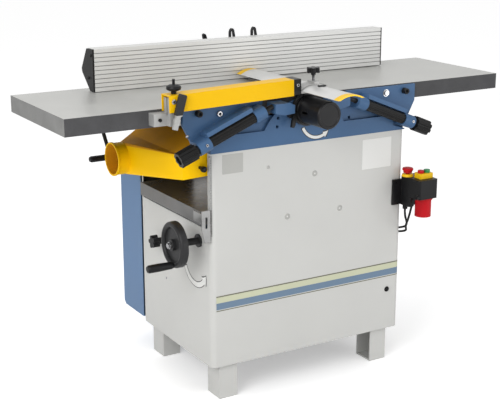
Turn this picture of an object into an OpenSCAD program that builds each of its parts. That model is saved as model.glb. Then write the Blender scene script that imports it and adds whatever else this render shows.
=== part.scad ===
// Combination planer thicknesser: folding surface-planing tables over a thicknessing bed.
// Origin on the floor, in the middle of the four foot holes. X runs along the tables, Y to the rear.

/* [Planing tables] */
// Length of each planing table
table_len = 746; // [700:1:790]
// Width of the planing tables
table_w = 420; // [410:1:430]
// Height of the table surface above the floor
table_top = 925; // [915:1:940]
// Depth of the rim round each table
table_rim = 50; // [46:1:54]
// Thickness of the planed table plate
table_skin = 14; // [10:1:18]
// Opening between the two table lips
lip_gap = 34; // [33:1:40]
// Least depth of cut, the infeed table's drop at rest
cut_rest = 1; // [0.5:0.5:2]

/* [Cutterblock] */
// Place of the cutterblock axis along the machine
cutter_x = -22; // [-30:1:-14]
// Radius of the cutterblock body
cutter_r = 43.5; // [42:0.5:44]
// Reach of the knives past the body
knife_out = 1; // [0.5:0.1:1.2]
// Number of knives
knife_count = 4; // [2:1:4]
// Radius of the cutterblock journals
journal_r = 12.5; // [10:0.5:15]
// Radius of the feed rollers
roller_r = 18; // [15:0.5:18]

/* [Cabinet] */
// Length of the cabinet
cabinet_len = 692; // [680:1:720]
// How much deeper the cabinet is than the tables are wide
cabinet_margin = 60; // [54:1:70]
// Height of the cabinet body
cabinet_h = 667; // [650:1:670]
// Thickness of the cabinet sheet
sheet = 3; // [2:0.5:4]
// Radius of the upright cabinet corners
corner_r = 18; // [10:1:20]
// Height of the end wall below the thicknessing opening
end_wall_h = 434; // [400:1:440]
// Width of the corner strips beside the openings
corner_strip = 20; // [20:1:23]

/* [Feet] */
// Height of the feet
foot_h = 111; // [90:1:130]
// Length of a foot along the machine
foot_len = 62; // [50:1:80]
// Depth of a foot
foot_depth = 75; // [60:1:90]
// Wall of the foot channel
foot_wall = 5; // [4:0.5:8]
// Distance between the foot holes along the machine
anchor_dx = 570; // [540:1:580]
// Distance between the foot holes across the machine
anchor_dy = 384; // [360:1:390]
// Radius of the foot holes
anchor_r = 7; // [5:0.5:9]

/* [Fence] */
// Length of the fence
fence_len = 1060; // [900:1:1200]
// Height of the fence
fence_h = 128; // [110:1:140]
// Depth of the fence profile
fence_t = 46; // [40:1:48]
// Distance from the table's front edge to the fence face
fence_set = 330; // [320:1:335]
// Number of grooves in the fence face
groove_count = 9; // [5:1:12]
// Wall of the fence profile
fence_wall = 4; // [3:0.5:6]

/* [Bridge guard] */
// Length of the guard arm
arm_len = 405; // [395:1:412]
// Height of the guard arm channel
arm_h = 48; // [44:1:52]
// Depth of the guard arm channel
arm_d = 49; // [46:1:56]
// Upward slope of the arm in degrees
arm_tilt = 1.6; // [0:0.1:2.5]
// Width of the guard plate
plate_w = 90; // [84:1:96]
// Length of the guard plate
plate_len = 566; // [500:1:568]
// Rise of the guard plate's bow
plate_rise = 13; // [9:1:16]
// Thickness of the guard plate
plate_t = 4; // [3:0.5:5]

/* [Table locks] */
// Slope of the lock rods in degrees
lock_tilt = 22; // [19:0.5:24]
// Length of the lock grips
grip_len = 158; // [140:1:160]
// Radius of the lock grips
grip_r = 16.5; // [14:0.5:18]
// Radius of the lock rods
rod_r = 8; // [6:0.5:9]
// Radius of the lock knobs
lock_knob_r = 24; // [20:0.5:25]
// Length of the lock knobs
lock_knob_len = 56; // [44:1:60]
// Length of a bracket lug along the rod
lug_len = 40; // [36:1:44]

/* [Thicknessing bed] */
// Length of the thicknessing bed
bed_len = 710; // [690:1:730]
// How much narrower the thicknessing bed is than the planing tables
bed_margin = 16; // [15:1:30]
// Height of the bed surface at rest
bed_top = 605; // [600:1:612]
// Depth of the bed's rim
bed_rim = 42; // [36:1:44]
// Radius of the bed's guide column
column_r = 45; // [38:1:55]
// Radius of the lifting screw
screw_r = 12; // [9:0.5:14]

/* [Height handwheel] */
// Outer radius of the handwheel
wheel_r = 70; // [64:1:74]
// Width of the handwheel rim
wheel_rim = 18; // [14:1:22]
// Height of the handwheel shaft above the floor
wheel_z = 499; // [490:1:508]
// Radius of the handwheel shaft
shaft_r = 7; // [6:0.5:9]
// Distance from the cabinet end to the wheel
wheel_reach = 86; // [75:1:100]
// Length of the crank grip
crank_len = 84; // [70:1:95]

/* [Dust hood] */
// Radius of the hose port
port_r = 50; // [46:1:52]
// Wall of the hood
hood_wall = 2.5; // [2:0.5:3]

/* [Rear cover and drive] */
// Depth of the rear cover behind the cabinet
cover_depth = 153; // [140:1:170]
// Height of the rear cover's top above the floor
cover_top = 640; // [620:1:650]
// Groove radius of the cutterblock pulley
cutter_pulley_r = 30; // [26:0.5:31]
// Groove radius of the motor pulley
motor_pulley_r = 55; // [48:0.5:60]
// Radius of the motor body
motor_r = 80; // [70:1:84]

/* [Switch] */
// Width of the switch box
switch_w = 72; // [70:1:80]
// Depth of the switch box
switch_d = 99; // [94:1:106]
// Height of the switch box
switch_h = 62; // [58:1:70]
// Radius of the stop mushroom
mushroom_r = 17.5; // [16:0.5:19]
// Radius of the switch leads
lead_r = 3.5; // [3:0.5:4]

/* [Fits] */
// Radial clearance of a turning fit
run_fit = 0.05; // [0.03:0.01:0.08]
// Radial clearance of a seated pin
seat_fit = 0.02; // [0.01:0.01:0.03]
// Gap between sliding faces
slide_gap = 0.3; // [0.2:0.1:0.5]

/* [Hidden] */
$fn = 64;

// Planes of the tables and the upper frame
mid_y = -22;
front = mid_y - table_w / 2;
back = mid_y + table_w / 2;
rim_bottom = table_top - table_rim;
cutter_z = table_top - cutter_r - knife_out;
lip_x = lip_gap / 2;
infeed_lip = 9;
cabinet_top = foot_h + cabinet_h;
cheek_top = rim_bottom - 5;
cheek_t = 12;
cheek_front = front + 1;
cheek_inner = cheek_front + cheek_t;
rear_inner = back + 2;
rear_outer = rear_inner + cheek_t + 2;
pad_front = front - 8;
half_len = cabinet_len / 2;
right_end = half_len + 11;
cabinet_depth = table_w + cabinet_margin;
half_depth = cabinet_depth / 2;

// Rear hinge line of the planing tables
hinge_y = back + 47;
hinge_z = rim_bottom - 13;
barrel_r = 14;
barrel_w = 30;
ear_t = 12;
pin_r = 8;
hinge_near = 175;
hinge_far = 295;

// Cutterblock journals, bearings and drive plane
block_front = front + 5;
block_rear = back - 5;
bearing_r = 26;
bearing_w = 10;
nose_end = pad_front - 105;
pulley_front = rear_outer + 8;
pulley_w = 36;
belt_t = 5;
belt_w = 12;
motor_x = 190;
motor_z = 262;
motor_shaft_r = 12;

// Feed rollers under the tables
roller_dx = 78;
roller_z = rim_bottom - 25;
roller_block = 34;
roller_block_t = 12;

// Fence, its guide bar and its tilting pivot
fence_x = cutter_x - fence_len / 2;
fence_y = front + fence_set;
fence_z = table_top + 2;
fence_back = fence_y + fence_t;
tilt_y = fence_back + 12;
tilt_z = fence_z + 13;
tilt_stations = [cutter_x - 24, cutter_x + 58];
tilt_pin_r = 5;
bar_x = cutter_x - 103;
bar_w = 50;
bar_z = table_top + 9;
bar_t = 16;
saddle_y = fence_back + 56;
fence_travel = 85;
tilt_room = 7;
bar_start = max(fence_back + fence_travel + tilt_room, back + 2);
saddle_len = bar_start + 49 - saddle_y;
slide_lever_x = cutter_x - 40;

// Bridge guard on the outfeed table's front edge
arm_x = cutter_x - 478;
arm_y = front - 58;
arm_z = table_top - 3;
arm_wall = 3;
arm_pivot = [arm_x + 14, arm_z + 32];
post_x = [arm_x + 4, arm_x + 36];
post_y = [arm_y + 6, arm_y + 42];
spindle_x = arm_x + 26;
spindle_y = arm_y + arm_d / 2;
spindle_r = 4;
plate_end = fence_y - 6;
plate_foot = -22;
plate_arc = (plate_w * plate_w / 4 + plate_rise * plate_rise) / (2 * plate_rise);
plate_mid = cutter_x - arm_pivot[0];
end_block_w = 25;
guard_knob_dx = 11;

// Table lock rods, in a frame whose +X points outwards from the cutterblock
lock_mid = [271.5, cutter_z - 30.5];
lock_y = front - 40;
lock_plate_t = 10;
lug_r = 20;
rod_in = -146;
lug_in = grip_len / 2 + 0.1;
knob_start = lug_in + lug_len + 10;
seat_u = 132;

// Thicknessing bed, its column and its lifting screw
bed_x = -370;
bed_w = table_w - bed_margin;
bed_y = (cheek_inner + rear_inner - bed_w) / 2;
bed_bottom = bed_top - bed_rim;
column_x = -60;
column_y = 75;
column_low = 250;
base_top = 480;
screw_x = 20;
wheel_y = 77 - half_depth;
screw_low = 290;
bevel_r = 30;
nut_z = wheel_z - bevel_r - 0.4;
wheel_x = -half_len - wheel_reach;
hub_r = 17;
bush_r = 11;
crank_r = wheel_r - 11;
crank_angle = 256;
lock_knob_y = column_y;
lock_knob_z = 436;
lock_rod_r = 6;

// Dust hood sections: the duct runs from the cutterblock out through the left end
hood_front = cheek_inner + 7;
hood_rear = rear_inner - 2;
port_y = 113;
port_z = 711;
port_x = -500;
hood_left = -405;
hood_end = 55;
hood_knob_x = -356.6;
hood_knob_z = 731;

// Switch box on the cabinet's right front corner
switch_x = right_end - 13;
switch_y = -half_depth - 6;
switch_z = 568;
switch_low = switch_z - 34;
bezel = [50, 37, 16];
bezel_at = [switch_x + 43, switch_y - 62];
stop_at = [switch_x + 12, switch_y - 20];
button_r = 10;

// Routes of the two leads from the switch box to the cabinet's right end
// Their points are measured from the cabinet's front face
function from_front(route) = [for (p = route) [p[0], p[1] - half_depth, p[2]]];
lead_a = from_front([
    [switch_x + 8, -24, 533.7], [switch_x + 8, -24, 524], [switch_x + 8, -24, 513], [354, -23, 502],
    [358, -21, 490], [364, -18, 479], [370, -13, 469], [375, -5, 459], [378, 4, 452], [378, 14, 447],
    [375, 23, 443.5], [370, 29.5, 441.5], [364, 33, 441], [right_end + 0.3, 33, 441]
]);
lead_b = from_front([
    [switch_x - 0.3, -98, 576], [336, -98, 576], [328.5, -98, 572], [323, -97, 562], [321, -95, 550],
    [321, -91, 538], [323, -85, 525], [327, -76, 512], [333, -65, 499], [340, -52, 486], [347, -39, 473],
    [355, -28, 462], [364, -18, 452], [373, -7, 443], [378, 5, 436], [377, 18, 431], [371.5, 28, 428.5],
    [365, 33, 428], [right_end + 0.3, 33, 428]
]);
lead_sides = 10;

// Shared shapes

// Range of a given half width about a middle value
function about(c, h) = [c - h, c + h];

// Range moved by an offset
function moved(c, v) = [c + v[0], c + v[1]];

// Box between two corners given as ranges
module block(x, y, z) {
    translate([x[0], y[0], z[0]]) cube([x[1] - x[0], y[1] - y[0], z[1] - z[0]]);
}

// Flat outline in X and Z, thickened along Y
module along_y(y0, y1) {
    translate([0, y1, 0]) rotate([90, 0, 0]) linear_extrude(y1 - y0) children();
}

// Flat outline in Y and Z, thickened along X
module along_x(x0, x1) {
    translate([x0, 0, 0]) rotate([90, 0, 90]) linear_extrude(x1 - x0) children();
}

// Round bars along the three axes
module bar_along_x(r, x0, x1) {
    translate([x0, 0, 0]) rotate([0, 90, 0]) cylinder(r = r, h = x1 - x0);
}

module bar_along_y(r, y0, y1) {
    translate([0, y1, 0]) rotate([90, 0, 0]) cylinder(r = r, h = y1 - y0);
}

// Rectangle with round corners
module round_rect(x, y, r) {
    translate([x[0] + r, y[0]]) square([x[1] - x[0] - 2 * r, y[1] - y[0]]);
    translate([x[0], y[0] + r]) square([x[1] - x[0], y[1] - y[0] - 2 * r]);
    for (cx = [x[0] + r, x[1] - r], cy = [y[0] + r, y[1] - r]) translate([cx, cy]) circle(r);
}

// Round outline with lengthwise flutes
module fluted(r, count, flute_r) {
    difference() {
        circle(r);
        for (i = [0:count - 1]) rotate(i * 360 / count) translate([r + flute_r * 0.35, 0]) circle(flute_r,
            $fn = 24);
    }
}

// Outline of a belt round two pulleys, a circle at each end and the straight flanks between
module belt_outline(a, ra, b, rb) {
    d = b - a;
    span = norm(d);
    base = atan2(d[1], d[0]);
    lean = acos((ra - rb) / span);
    function rim(c, r, s) = c + r * [cos(base + s * lean), sin(base + s * lean)];
    translate(a) circle(ra);
    translate(b) circle(rb);
    polygon([rim(a, ra, 1), rim(a, ra, -1), rim(b, rb, -1), rim(b, rb, 1)]);
}

// Cabinet and frame

module base_cabinet() {
    outer_x = [-half_len, right_end];
    outer_y = [-half_depth, half_depth];
    open_y = [-half_depth + corner_strip, half_depth - corner_strip];
    color("gainsboro") difference() {
        union() {
            translate([0, 0, foot_h]) linear_extrude(cabinet_h) difference() {
                round_rect(outer_x, outer_y, corner_r);
                round_rect(outer_x + [sheet, -sheet], outer_y + [sheet, -sheet], corner_r - sheet);
            }
            translate([0, 0, foot_h]) linear_extrude(sheet) round_rect(outer_x, outer_y, corner_r);
            for (y = [[-half_depth + sheet / 2, open_y[0]], [open_y[1], half_depth - sheet / 2]])
                block([-half_len + corner_r, right_end - corner_r], y, [cabinet_top - sheet, cabinet_top]);
        }
        block([-half_len - 1, right_end + 1], open_y, [foot_h + end_wall_h, cabinet_top + 1]);
        block([-150, 290], [half_depth - 2 * sheet, half_depth + 1], [foot_h + 60, cabinet_top - 40]);
        block([cutter_x - 70, cutter_x + 150], [open_y[1] - 1, half_depth + 1], [cabinet_top - 41,
            cabinet_top + 1]);
        translate([0, wheel_y, wheel_z]) bar_along_x(bush_r + seat_fit, -half_len - 1, -half_len + sheet + 1);
        translate([0, lock_knob_y, lock_knob_z]) bar_along_x(lock_rod_r + run_fit, -half_len - 1,
            -half_len + sheet + 1);
    }
}

// One channel foot with its web on the outside and a drilled sole plate
module channel_foot() {
    x_out = anchor_dx / 2 + foot_len / 2;
    x_in = x_out - foot_len;
    y_mid = anchor_dy / 2;
    difference() {
        block([x_in, x_out], [y_mid - foot_depth / 2, y_mid + foot_depth / 2], [0, foot_h]);
        block([x_in - 1, x_out - foot_wall], [y_mid - foot_depth / 2 + foot_wall,
            y_mid + foot_depth / 2 - foot_wall],
            [foot_wall, foot_h - foot_wall]);
        translate([anchor_dx / 2, y_mid, -1]) cylinder(r = anchor_r, h = foot_wall + 2);
    }
}

module machine_feet() {
    color("gainsboro") for (mx = [0, 1], my = [0, 1]) mirror([mx, 0, 0]) mirror([0, my, 0]) channel_foot();
}

module front_cheek() {
    dome_r = 160;
    dome_z = table_top - 10 - dome_r;
    color("steelblue") difference() {
        union() {
            block([-half_len, right_end], [cheek_front, cheek_inner], [cabinet_top, cheek_top]);
            block([-half_len, right_end], [cheek_front, cheek_inner + 5], [cabinet_top, cabinet_top + 10]);
            for (x = [[-half_len, cutter_x - 130], [cutter_x + 130, right_end]])
                block(x, [cheek_front, cheek_front + 36], [cheek_top - 10, cheek_top]);
            along_y(pad_front, cheek_front + 1) polygon([[-half_len, cabinet_top], [right_end, cabinet_top],
                [right_end, cabinet_top + 3], [seat_u + 180, cabinet_top + 17], [seat_u + 180,
                    cheek_top - 42],
                [-half_len, cheek_top - 42]]);
            for (x = [-270, -190, 150, 230]) block([x, x + 10], [cheek_inner - 1, cheek_inner + 5],
                [cabinet_top + 9, cheek_top - 9]);
            along_y(pad_front, front - 1.5) intersection() {
                translate([cutter_x, dome_z]) circle(dome_r, $fn = 128);
                translate([cutter_x - dome_r, cabinet_top + 12])
                    square([2 * dome_r, table_top - cabinet_top - 12]);
            }
            along_y(front - 2, cheek_front + 1) intersection() {
                translate([cutter_x, dome_z]) circle(dome_r, $fn = 128);
                translate([cutter_x - dome_r, cabinet_top + 12]) square([2 * dome_r,
                    cheek_top - cabinet_top - 12]);
            }
            translate([cutter_x, 0, cutter_z]) bar_along_y(cutter_r - 1.5, front - 2, block_front - 2);
            for (m = [0, 1]) translate([cutter_x, 0, 0]) mirror([m, 0, 0]) along_y(lock_y - 14, pad_front + 5)
                polygon([[66, cutter_z], [100, cutter_z - 3], [seat_u, cutter_z + 4], [seat_u,
                    table_top - 12],
                    [84, table_top - 12], [66, table_top - 20]]);
        }
        translate([cutter_x, 0, cutter_z]) {
            bar_along_y(bearing_r + seat_fit, pad_front + 2, block_front);
            bar_along_y(journal_r + 3, pad_front - 1, block_front);
            bar_along_y(cutter_r + 2.5, block_front - 2, cheek_inner + 10);
        }
        for (p = [[-95, -19], [-98, -45], [168, -45]])
            translate([cutter_x + p[0], 0, cutter_z + p[1]]) bar_along_y(5, pad_front - 1, cheek_inner + 1);
    }
}

module rear_cheek() {
    color("steelblue") difference() {
        union() {
            block([-half_len, right_end], [rear_inner, rear_outer], [cabinet_top, cheek_top]);
            block([-half_len, cutter_x - 71], [rear_inner, half_depth - sheet], [cabinet_top,
                cabinet_top + 10]);
            block([cutter_x + 151, right_end], [rear_inner, half_depth - sheet], [cabinet_top,
                cabinet_top + 10]);
            translate([cutter_x, 0, cutter_z]) bar_along_y(cutter_r - 1.5, rear_inner - 2, rear_outer);
            block(about(cutter_x, cutter_r - 1.5), [rear_inner, rear_outer], [cheek_top - 20, cutter_z]);
            for (c = [hinge_near, hinge_far], s = [-1, 1]) hinge_ear(cutter_x - c, s, rear_outer - 1);
            for (x = [cutter_x + hinge_near - 54, cutter_x + hinge_far + 34])
                block([x, x + 20], [rear_outer - 1, rear_outer + 14], [cabinet_top + 12, cheek_top]);
            block([-half_len, -half_len + 40], [rear_outer - 1, rear_outer + 23], [cabinet_top + 24,
                cabinet_top + 50]);
        }
        translate([cutter_x, 0, cutter_z]) bar_along_y(bearing_r + seat_fit, rear_inner - 3,
            rear_inner + bearing_w - 2);
        translate([cutter_x, 0, cutter_z]) bar_along_y(journal_r + 3, rear_inner, rear_outer + 1);
        for (c = [hinge_near, hinge_far]) translate([cutter_x - c, hinge_y, hinge_z])
            bar_along_x(pin_r + seat_fit, -barrel_w, barrel_w);
        translate([0, rear_outer + 11, cabinet_top + 37]) bar_along_x(6 + run_fit, -half_len - 1,
            -half_len + 41);
    }
}

// Upright ear beside a hinge barrel, rising from a plate whose back face is at y
module hinge_ear(x, side, y) {
    lo = x + (side > 0 ? barrel_w / 2 + 0.5 : -barrel_w / 2 - 0.5 - ear_t);
    along_x(lo, lo + ear_t) {
        translate([hinge_y, hinge_z]) circle(barrel_r);
        polygon([[y, hinge_z - 40], [hinge_y + barrel_r * 0.7, hinge_z - barrel_r * 0.7],
            [hinge_y - barrel_r * 0.7, hinge_z + barrel_r * 0.7], [y, cheek_top - 2]]);
    }
}

module frame_bars() {
    color("silver") {
        for (x = [-320, 310]) translate([x, 0, cheek_top - 27]) bar_along_y(12, cheek_inner, rear_inner);
        for (c = [hinge_near, hinge_far]) translate([cutter_x - c, hinge_y, hinge_z])
            bar_along_x(pin_r, -barrel_w / 2 - ear_t, barrel_w / 2 + ear_t);
    }
}

// Rear cover: a deep pan behind the cabinet and a domed neck over the upper pulley
module rear_cover() {
    back_y = half_depth + cover_depth;
    low = foot_h + 11;
    neck_r = cutter_r - 1.5;
    neck_x = about(cutter_x, neck_r);
    neck_back = pulley_front + pulley_w + 8;
    wall = 2.5;
    slope = [[98, cover_top - 10], [62, cabinet_top - 60], [10, cutter_z - 22], [0, cutter_z - 4], [0,
        cutter_z]];
    function side(w) = [for (p = slope) [neck_x[1] - w + p[0], p[1]]];
    color("steelblue") difference() {
        union() {
            along_x(-half_len, right_end) polygon([[half_depth, low], [back_y - 12, low], [back_y, low + 12],
                [back_y, cover_top - 30], [back_y - 30, cover_top], [half_depth, cover_top]]);
            along_y(half_depth, neck_back) {
                translate([cutter_x, cutter_z]) circle(neck_r);
                polygon(concat([[neck_x[0], cutter_z], [neck_x[0], cover_top - 10]], side(0)));
            }
            along_y(rear_outer + 0.5, half_depth + 1) {
                translate([cutter_x, cutter_z]) circle(neck_r);
                polygon([[neck_x[0], cutter_z], [neck_x[0], cabinet_top + 11], [neck_x[1] + 36,
                    cabinet_top + 11],
                    [neck_x[1] + 10, cutter_z - 22], [neck_x[1], cutter_z - 4], [neck_x[1], cutter_z]]);
            }
        }
        along_x(-half_len + wall, right_end - wall) polygon([[half_depth - 1, low + wall],
            [back_y - 12 - wall / 2, low + wall], [back_y - wall, low + 12 + wall / 2],
            [back_y - wall, cover_top - 31], [back_y - 31, cover_top - wall], [half_depth - 1,
                cover_top - wall]]);
        along_y(rear_outer - 1, neck_back - wall) {
            translate([cutter_x, cutter_z]) circle(neck_r - wall);
            polygon(concat([[neck_x[0] + wall, cutter_z], [neck_x[0] + wall, cover_top - 10]], side(wall)));
        }
    }
}

// Drive

module motor() {
    fin_count = 24;
    front_y = -70;
    rear_y = rear_outer - 12;
    color("dimgray") translate([motor_x, 0, motor_z]) difference() {
        union() {
            along_y(front_y + 40, rear_y - 22) difference() {
                circle(motor_r);
                for (i = [0:fin_count - 1]) rotate(i * 360 / fin_count) translate([motor_r, 0])
                    square([12, 6], center = true);
            }
            bar_along_y(motor_r - 3, front_y, front_y + 41);
            bar_along_y(motor_r - 2, rear_y - 23, rear_y);
            block([-70, 70], [front_y + 60, rear_y - 40], [foot_h + sheet - motor_z, -motor_r + 14]);
            block([-50, 50], [front_y + 70, front_y + 150], [motor_r - 12, motor_r + 32]);
        }
        bar_along_y(motor_shaft_r + run_fit, rear_y - 30, rear_y + 1);
    }
}

// Grooved pulley for two belts, bored for its shaft
module grooved_pulley(r, bore) {
    difference() {
        bar_along_y(r + belt_t + 1, pulley_front, pulley_front + pulley_w);
        for (i = [0, 1]) {
            y0 = pulley_front + 4 + i * (belt_w + 4);
            difference() {
                bar_along_y(r + belt_t + 2, y0, y0 + belt_w);
                bar_along_y(r, y0 - 1, y0 + belt_w + 1);
            }
        }
        bar_along_y(bore, pulley_front - 1, pulley_front + pulley_w + 1);
    }
}

module cutterblock_pulley() {
    color("gray") translate([cutter_x, 0, cutter_z]) grooved_pulley(cutter_pulley_r, journal_r + seat_fit);
}

module motor_pulley() {
    color("gray") translate([motor_x, 0, motor_z]) {
        grooved_pulley(motor_pulley_r, motor_shaft_r + seat_fit);
        bar_along_y(motor_shaft_r, rear_outer - 40, pulley_front + pulley_w);
    }
}

module drive_belts() {
    a = [cutter_x, cutter_z];
    b = [motor_x, motor_z];
    gap = slide_gap;
    color("black") for (i = [0, 1]) {
        y0 = pulley_front + 4 + i * (belt_w + 4) + 0.5;
        along_y(y0, y0 + belt_w - 1) difference() {
            belt_outline(a, cutter_pulley_r + belt_t, b, motor_pulley_r + belt_t);
            belt_outline(a, cutter_pulley_r + gap, b, motor_pulley_r + gap);
        }
    }
}

module bearing_blocks() {
    color("silver") {
        translate([cutter_x, 0, cutter_z]) for (y0 = [pad_front + 2, rear_inner - 2]) difference() {
            bar_along_y(bearing_r, y0, y0 + bearing_w);
            bar_along_y(journal_r + run_fit, y0 - 1, y0 + bearing_w + 1);
        }
        for (s = [-1, 1], y0 = [cheek_inner, rear_inner - roller_block_t])
            translate([cutter_x + s * roller_dx, 0, roller_z])
            difference() {
                along_y(y0, y0 + roller_block_t)
                    round_rect([-roller_block / 2, roller_block / 2], [-roller_block / 2, roller_r - 1], 4);
                bar_along_y(10 + run_fit, y0 - 1, y0 + roller_block_t + 1);
            }
    }
}

// Angles of the knife slots
function knife_angle(i) = 20 + i * 360 / knife_count;

module cutterblock() {
    slot_w = 15;
    slot_d = 20;
    color("gray") translate([cutter_x, 0, cutter_z]) {
        along_y(block_front, block_rear) difference() {
            circle(cutter_r, $fn = 96);
            for (i = [0:knife_count - 1]) rotate(knife_angle(i)) translate([cutter_r - slot_d, -slot_w / 2])
                square([slot_d + 5, slot_w]);
        }
        bar_along_y(journal_r, nose_end + 45, block_front + 1);
        bar_along_y(journal_r, block_rear - 1, pulley_front + pulley_w);
        translate([0, nose_end, 0]) rotate([-90, 0, 0]) rotate_extrude()
            polygon([[0, 0], [14, 0], [22, 12], [22, 46], [0, 46]]);
    }
}

// Each knife leans on a gib bar in its slot
module planer_knives() {
    knife_t = 3;
    reach = cutter_r + knife_out;
    color("silver") translate([cutter_x, 0, cutter_z]) for (i = [0:knife_count - 1])
        along_y(block_front, block_rear) rotate(knife_angle(i)) {
            intersection() {
                translate([reach - 20, 4.4]) square([20, knife_t]);
                circle(reach, $fn = 96);
            }
            translate([cutter_r - 19.9, -7.4]) square([16, 11.7]);
        }
}

// Feed roller between its two bearing blocks
module feed_roller(x) {
    translate([x, 0, roller_z]) {
        along_y(cheek_inner + roller_block_t + 2, rear_inner - roller_block_t - 2) children();
        bar_along_y(10, cheek_inner + 1, rear_inner - 1);
    }
}

module infeed_roller() {
    color("gray") feed_roller(cutter_x - roller_dx) fluted(roller_r, 18, 1.6);
}

module outfeed_roller() {
    color("dimgray") feed_roller(cutter_x + roller_dx) circle(roller_r);
}

// Dust hood

// One upright section of the hood, a thin slab at x
module hood_slab(x, y, z, inset) {
    block([x, x + 0.5], y + [inset, -inset], z + [inset, -inset]);
}

module hood_body(inset) {
    wide_y = [hood_front, hood_rear];
    gate_y = [hood_front + 9, hood_rear];
    hull() {
        hood_slab(hood_end - inset, wide_y, [715, cheek_top - 46], inset);
        hood_slab(-330, gate_y, [706, 812], inset);
    }
    hull() {
        hood_slab(-330, gate_y, [706, 812], inset);
        hood_slab(hood_left, [-178, 180], [696, 768], inset);
    }
    hull() {
        hood_slab(hood_left, [-178, 180], [696, 768], inset);
        translate([0, port_y, port_z]) bar_along_x(port_r - inset, -462, -461, $fn = 48);
    }
}

module dust_hood() {
    color("gold") {
        difference() {
            union() {
                hood_body(0);
                for (y = [[cheek_inner, hood_front + 11], [hood_rear - 1, rear_inner]])
                    block([-328, -296], y, [cabinet_top + 12, cabinet_top + 28]);
            }
            hood_body(hood_wall);
            block([cutter_x - 84, hood_end - 8], [hood_front + 8, hood_rear - 8], [770, cheek_top]);
            translate([0, port_y, port_z]) bar_along_x(port_r - hood_wall, -470, -459);
            translate([hood_knob_x, 0, hood_knob_z]) bar_along_y(5 + run_fit, hood_front - 2,
                hood_front + 60);
        }
        translate([0, port_y, port_z]) difference() {
            union() {
                bar_along_x(port_r, port_x, -461.2);
                bar_along_x(port_r + 2.5, port_x, port_x + 6);
            }
            bar_along_x(port_r - hood_wall, port_x - 1, -461);
        }
        translate([hood_knob_x, hood_front + 26, hood_knob_z]) rotate([90, 0, 0]) rotate_extrude()
            polygon([[0, 0], [5, 0], [5, 24], [9, 26], [9, 35], [6, 39], [0, 39]]);
    }
}

// Chuck guard over the front end of the cutterblock

module chuck_guard_collar() {
    ear = [cutter_x - 52.5, cutter_z - 8];
    collar_front = pad_front - 14;
    color("dimgray") difference() {
        along_y(collar_front, pad_front) difference() {
            union() {
                translate([cutter_x, cutter_z]) circle(50);
                translate(ear) circle(15);
                polygon([[cutter_x, cutter_z + 30], ear + [-4, 14], ear + [-4, -14], [cutter_x,
                    cutter_z - 42]]);
            }
            translate([cutter_x, cutter_z]) circle(36);
        }
        translate([ear[0], 0, ear[1]]) bar_along_y(4 + run_fit, collar_front - 1, pad_front + 1);
    }
}

module chuck_guard() {
    rear_y = pad_front - 14;
    color("black") translate([cutter_x, 0, cutter_z]) difference() {
        translate([0, rear_y, 0]) rotate([90, 0, 0]) rotate_extrude()
            polygon([[36, 0], [44, 0], [44, 8], [41, 10], [41, 112], [38, 115], [33, 115], [32, 113.5],
                [0, 113.5], [0, 109], [36, 109]]);
        translate([-48, rear_y - 44, -4]) block([0, 20], [-15, 15], [0, 8]);
    }
}

module chuck_guard_lever() {
    ear = [cutter_x - 52.5, cutter_z - 8];
    y0 = pad_front - 14;
    color("black") {
        translate([ear[0], 0, ear[1]]) {
            bar_along_y(4, y0 - 14, pad_front);
            bar_along_y(7, y0 - 15, y0 - 0.5);
        }
        along_y(y0 - 15, y0 - 6) polygon([ear + [-6, 0], ear + [6, 0], ear + [0, -32], ear + [-5, -40],
            ear + [-13, -38], ear + [-12, -26]]);
    }
}

// Planing tables

// Cast plate with a rim and ribs. The lip end is at x = 0, the outer end at x = table_len
module planing_table(top, lip, edge) {
    wall = 12;
    pockets = 6;
    rows = 2;
    inner = [70, table_len - wall];
    pitch_x = (inner[1] - inner[0] + 10) / pockets;
    pitch_y = (table_w - 2 * wall + 10) / rows;
    low = top - table_rim;
    difference() {
        block([lip, table_len], [front, back], [low, top]);
        along_y(front - 1, back + 1) translate([lip, 0])
            polygon([[-1, top - edge], [0, top - edge], [100, low], [100, low - 1], [-1, low - 1]]);
        for (i = [0:pockets - 1], j = [0:rows - 1])
            block([inner[0] + i * pitch_x, inner[0] + (i + 1) * pitch_x - 10],
                [front + wall + j * pitch_y, front + wall + (j + 1) * pitch_y - 10], [low - 1,
                    top - table_skin]);
    }
    for (c = [hinge_near, hinge_far]) hinge_arm(c - lip_x);
}

// Arm from the table's rear rim down to its hinge barrel
module hinge_arm(x) {
    along_x(x - barrel_w / 2, x + barrel_w / 2) difference() {
        union() {
            translate([hinge_y, hinge_z]) circle(barrel_r);
            polygon([[back - 11, rim_bottom + 4], [back + 14, rim_bottom + 4], [hinge_y - 9, hinge_z - 10],
                [hinge_y + 10, hinge_z + 10], [back + 18, rim_bottom + 30], [back - 11, rim_bottom + 30]]);
        }
        translate([hinge_y, hinge_z]) circle(pin_r + run_fit);
    }
}

module outfeed_table() {
    color("darkgray") translate([cutter_x - lip_x, 0, 0]) mirror([1, 0, 0]) planing_table(table_top, 0, 2.5);
}

module infeed_table() {
    color("darkgray") translate([cutter_x + lip_x, 0, 0]) planing_table_lowered();
}

// The infeed table lies lower by the least depth of cut and keeps its hinge line
module planing_table_lowered() {
    difference() {
        planing_table(table_top, infeed_lip, cut_rest + 3);
        block([-1, table_len + 1], [front - 1, back + 1], [table_top - cut_rest, table_top + 1]);
    }
}

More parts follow.
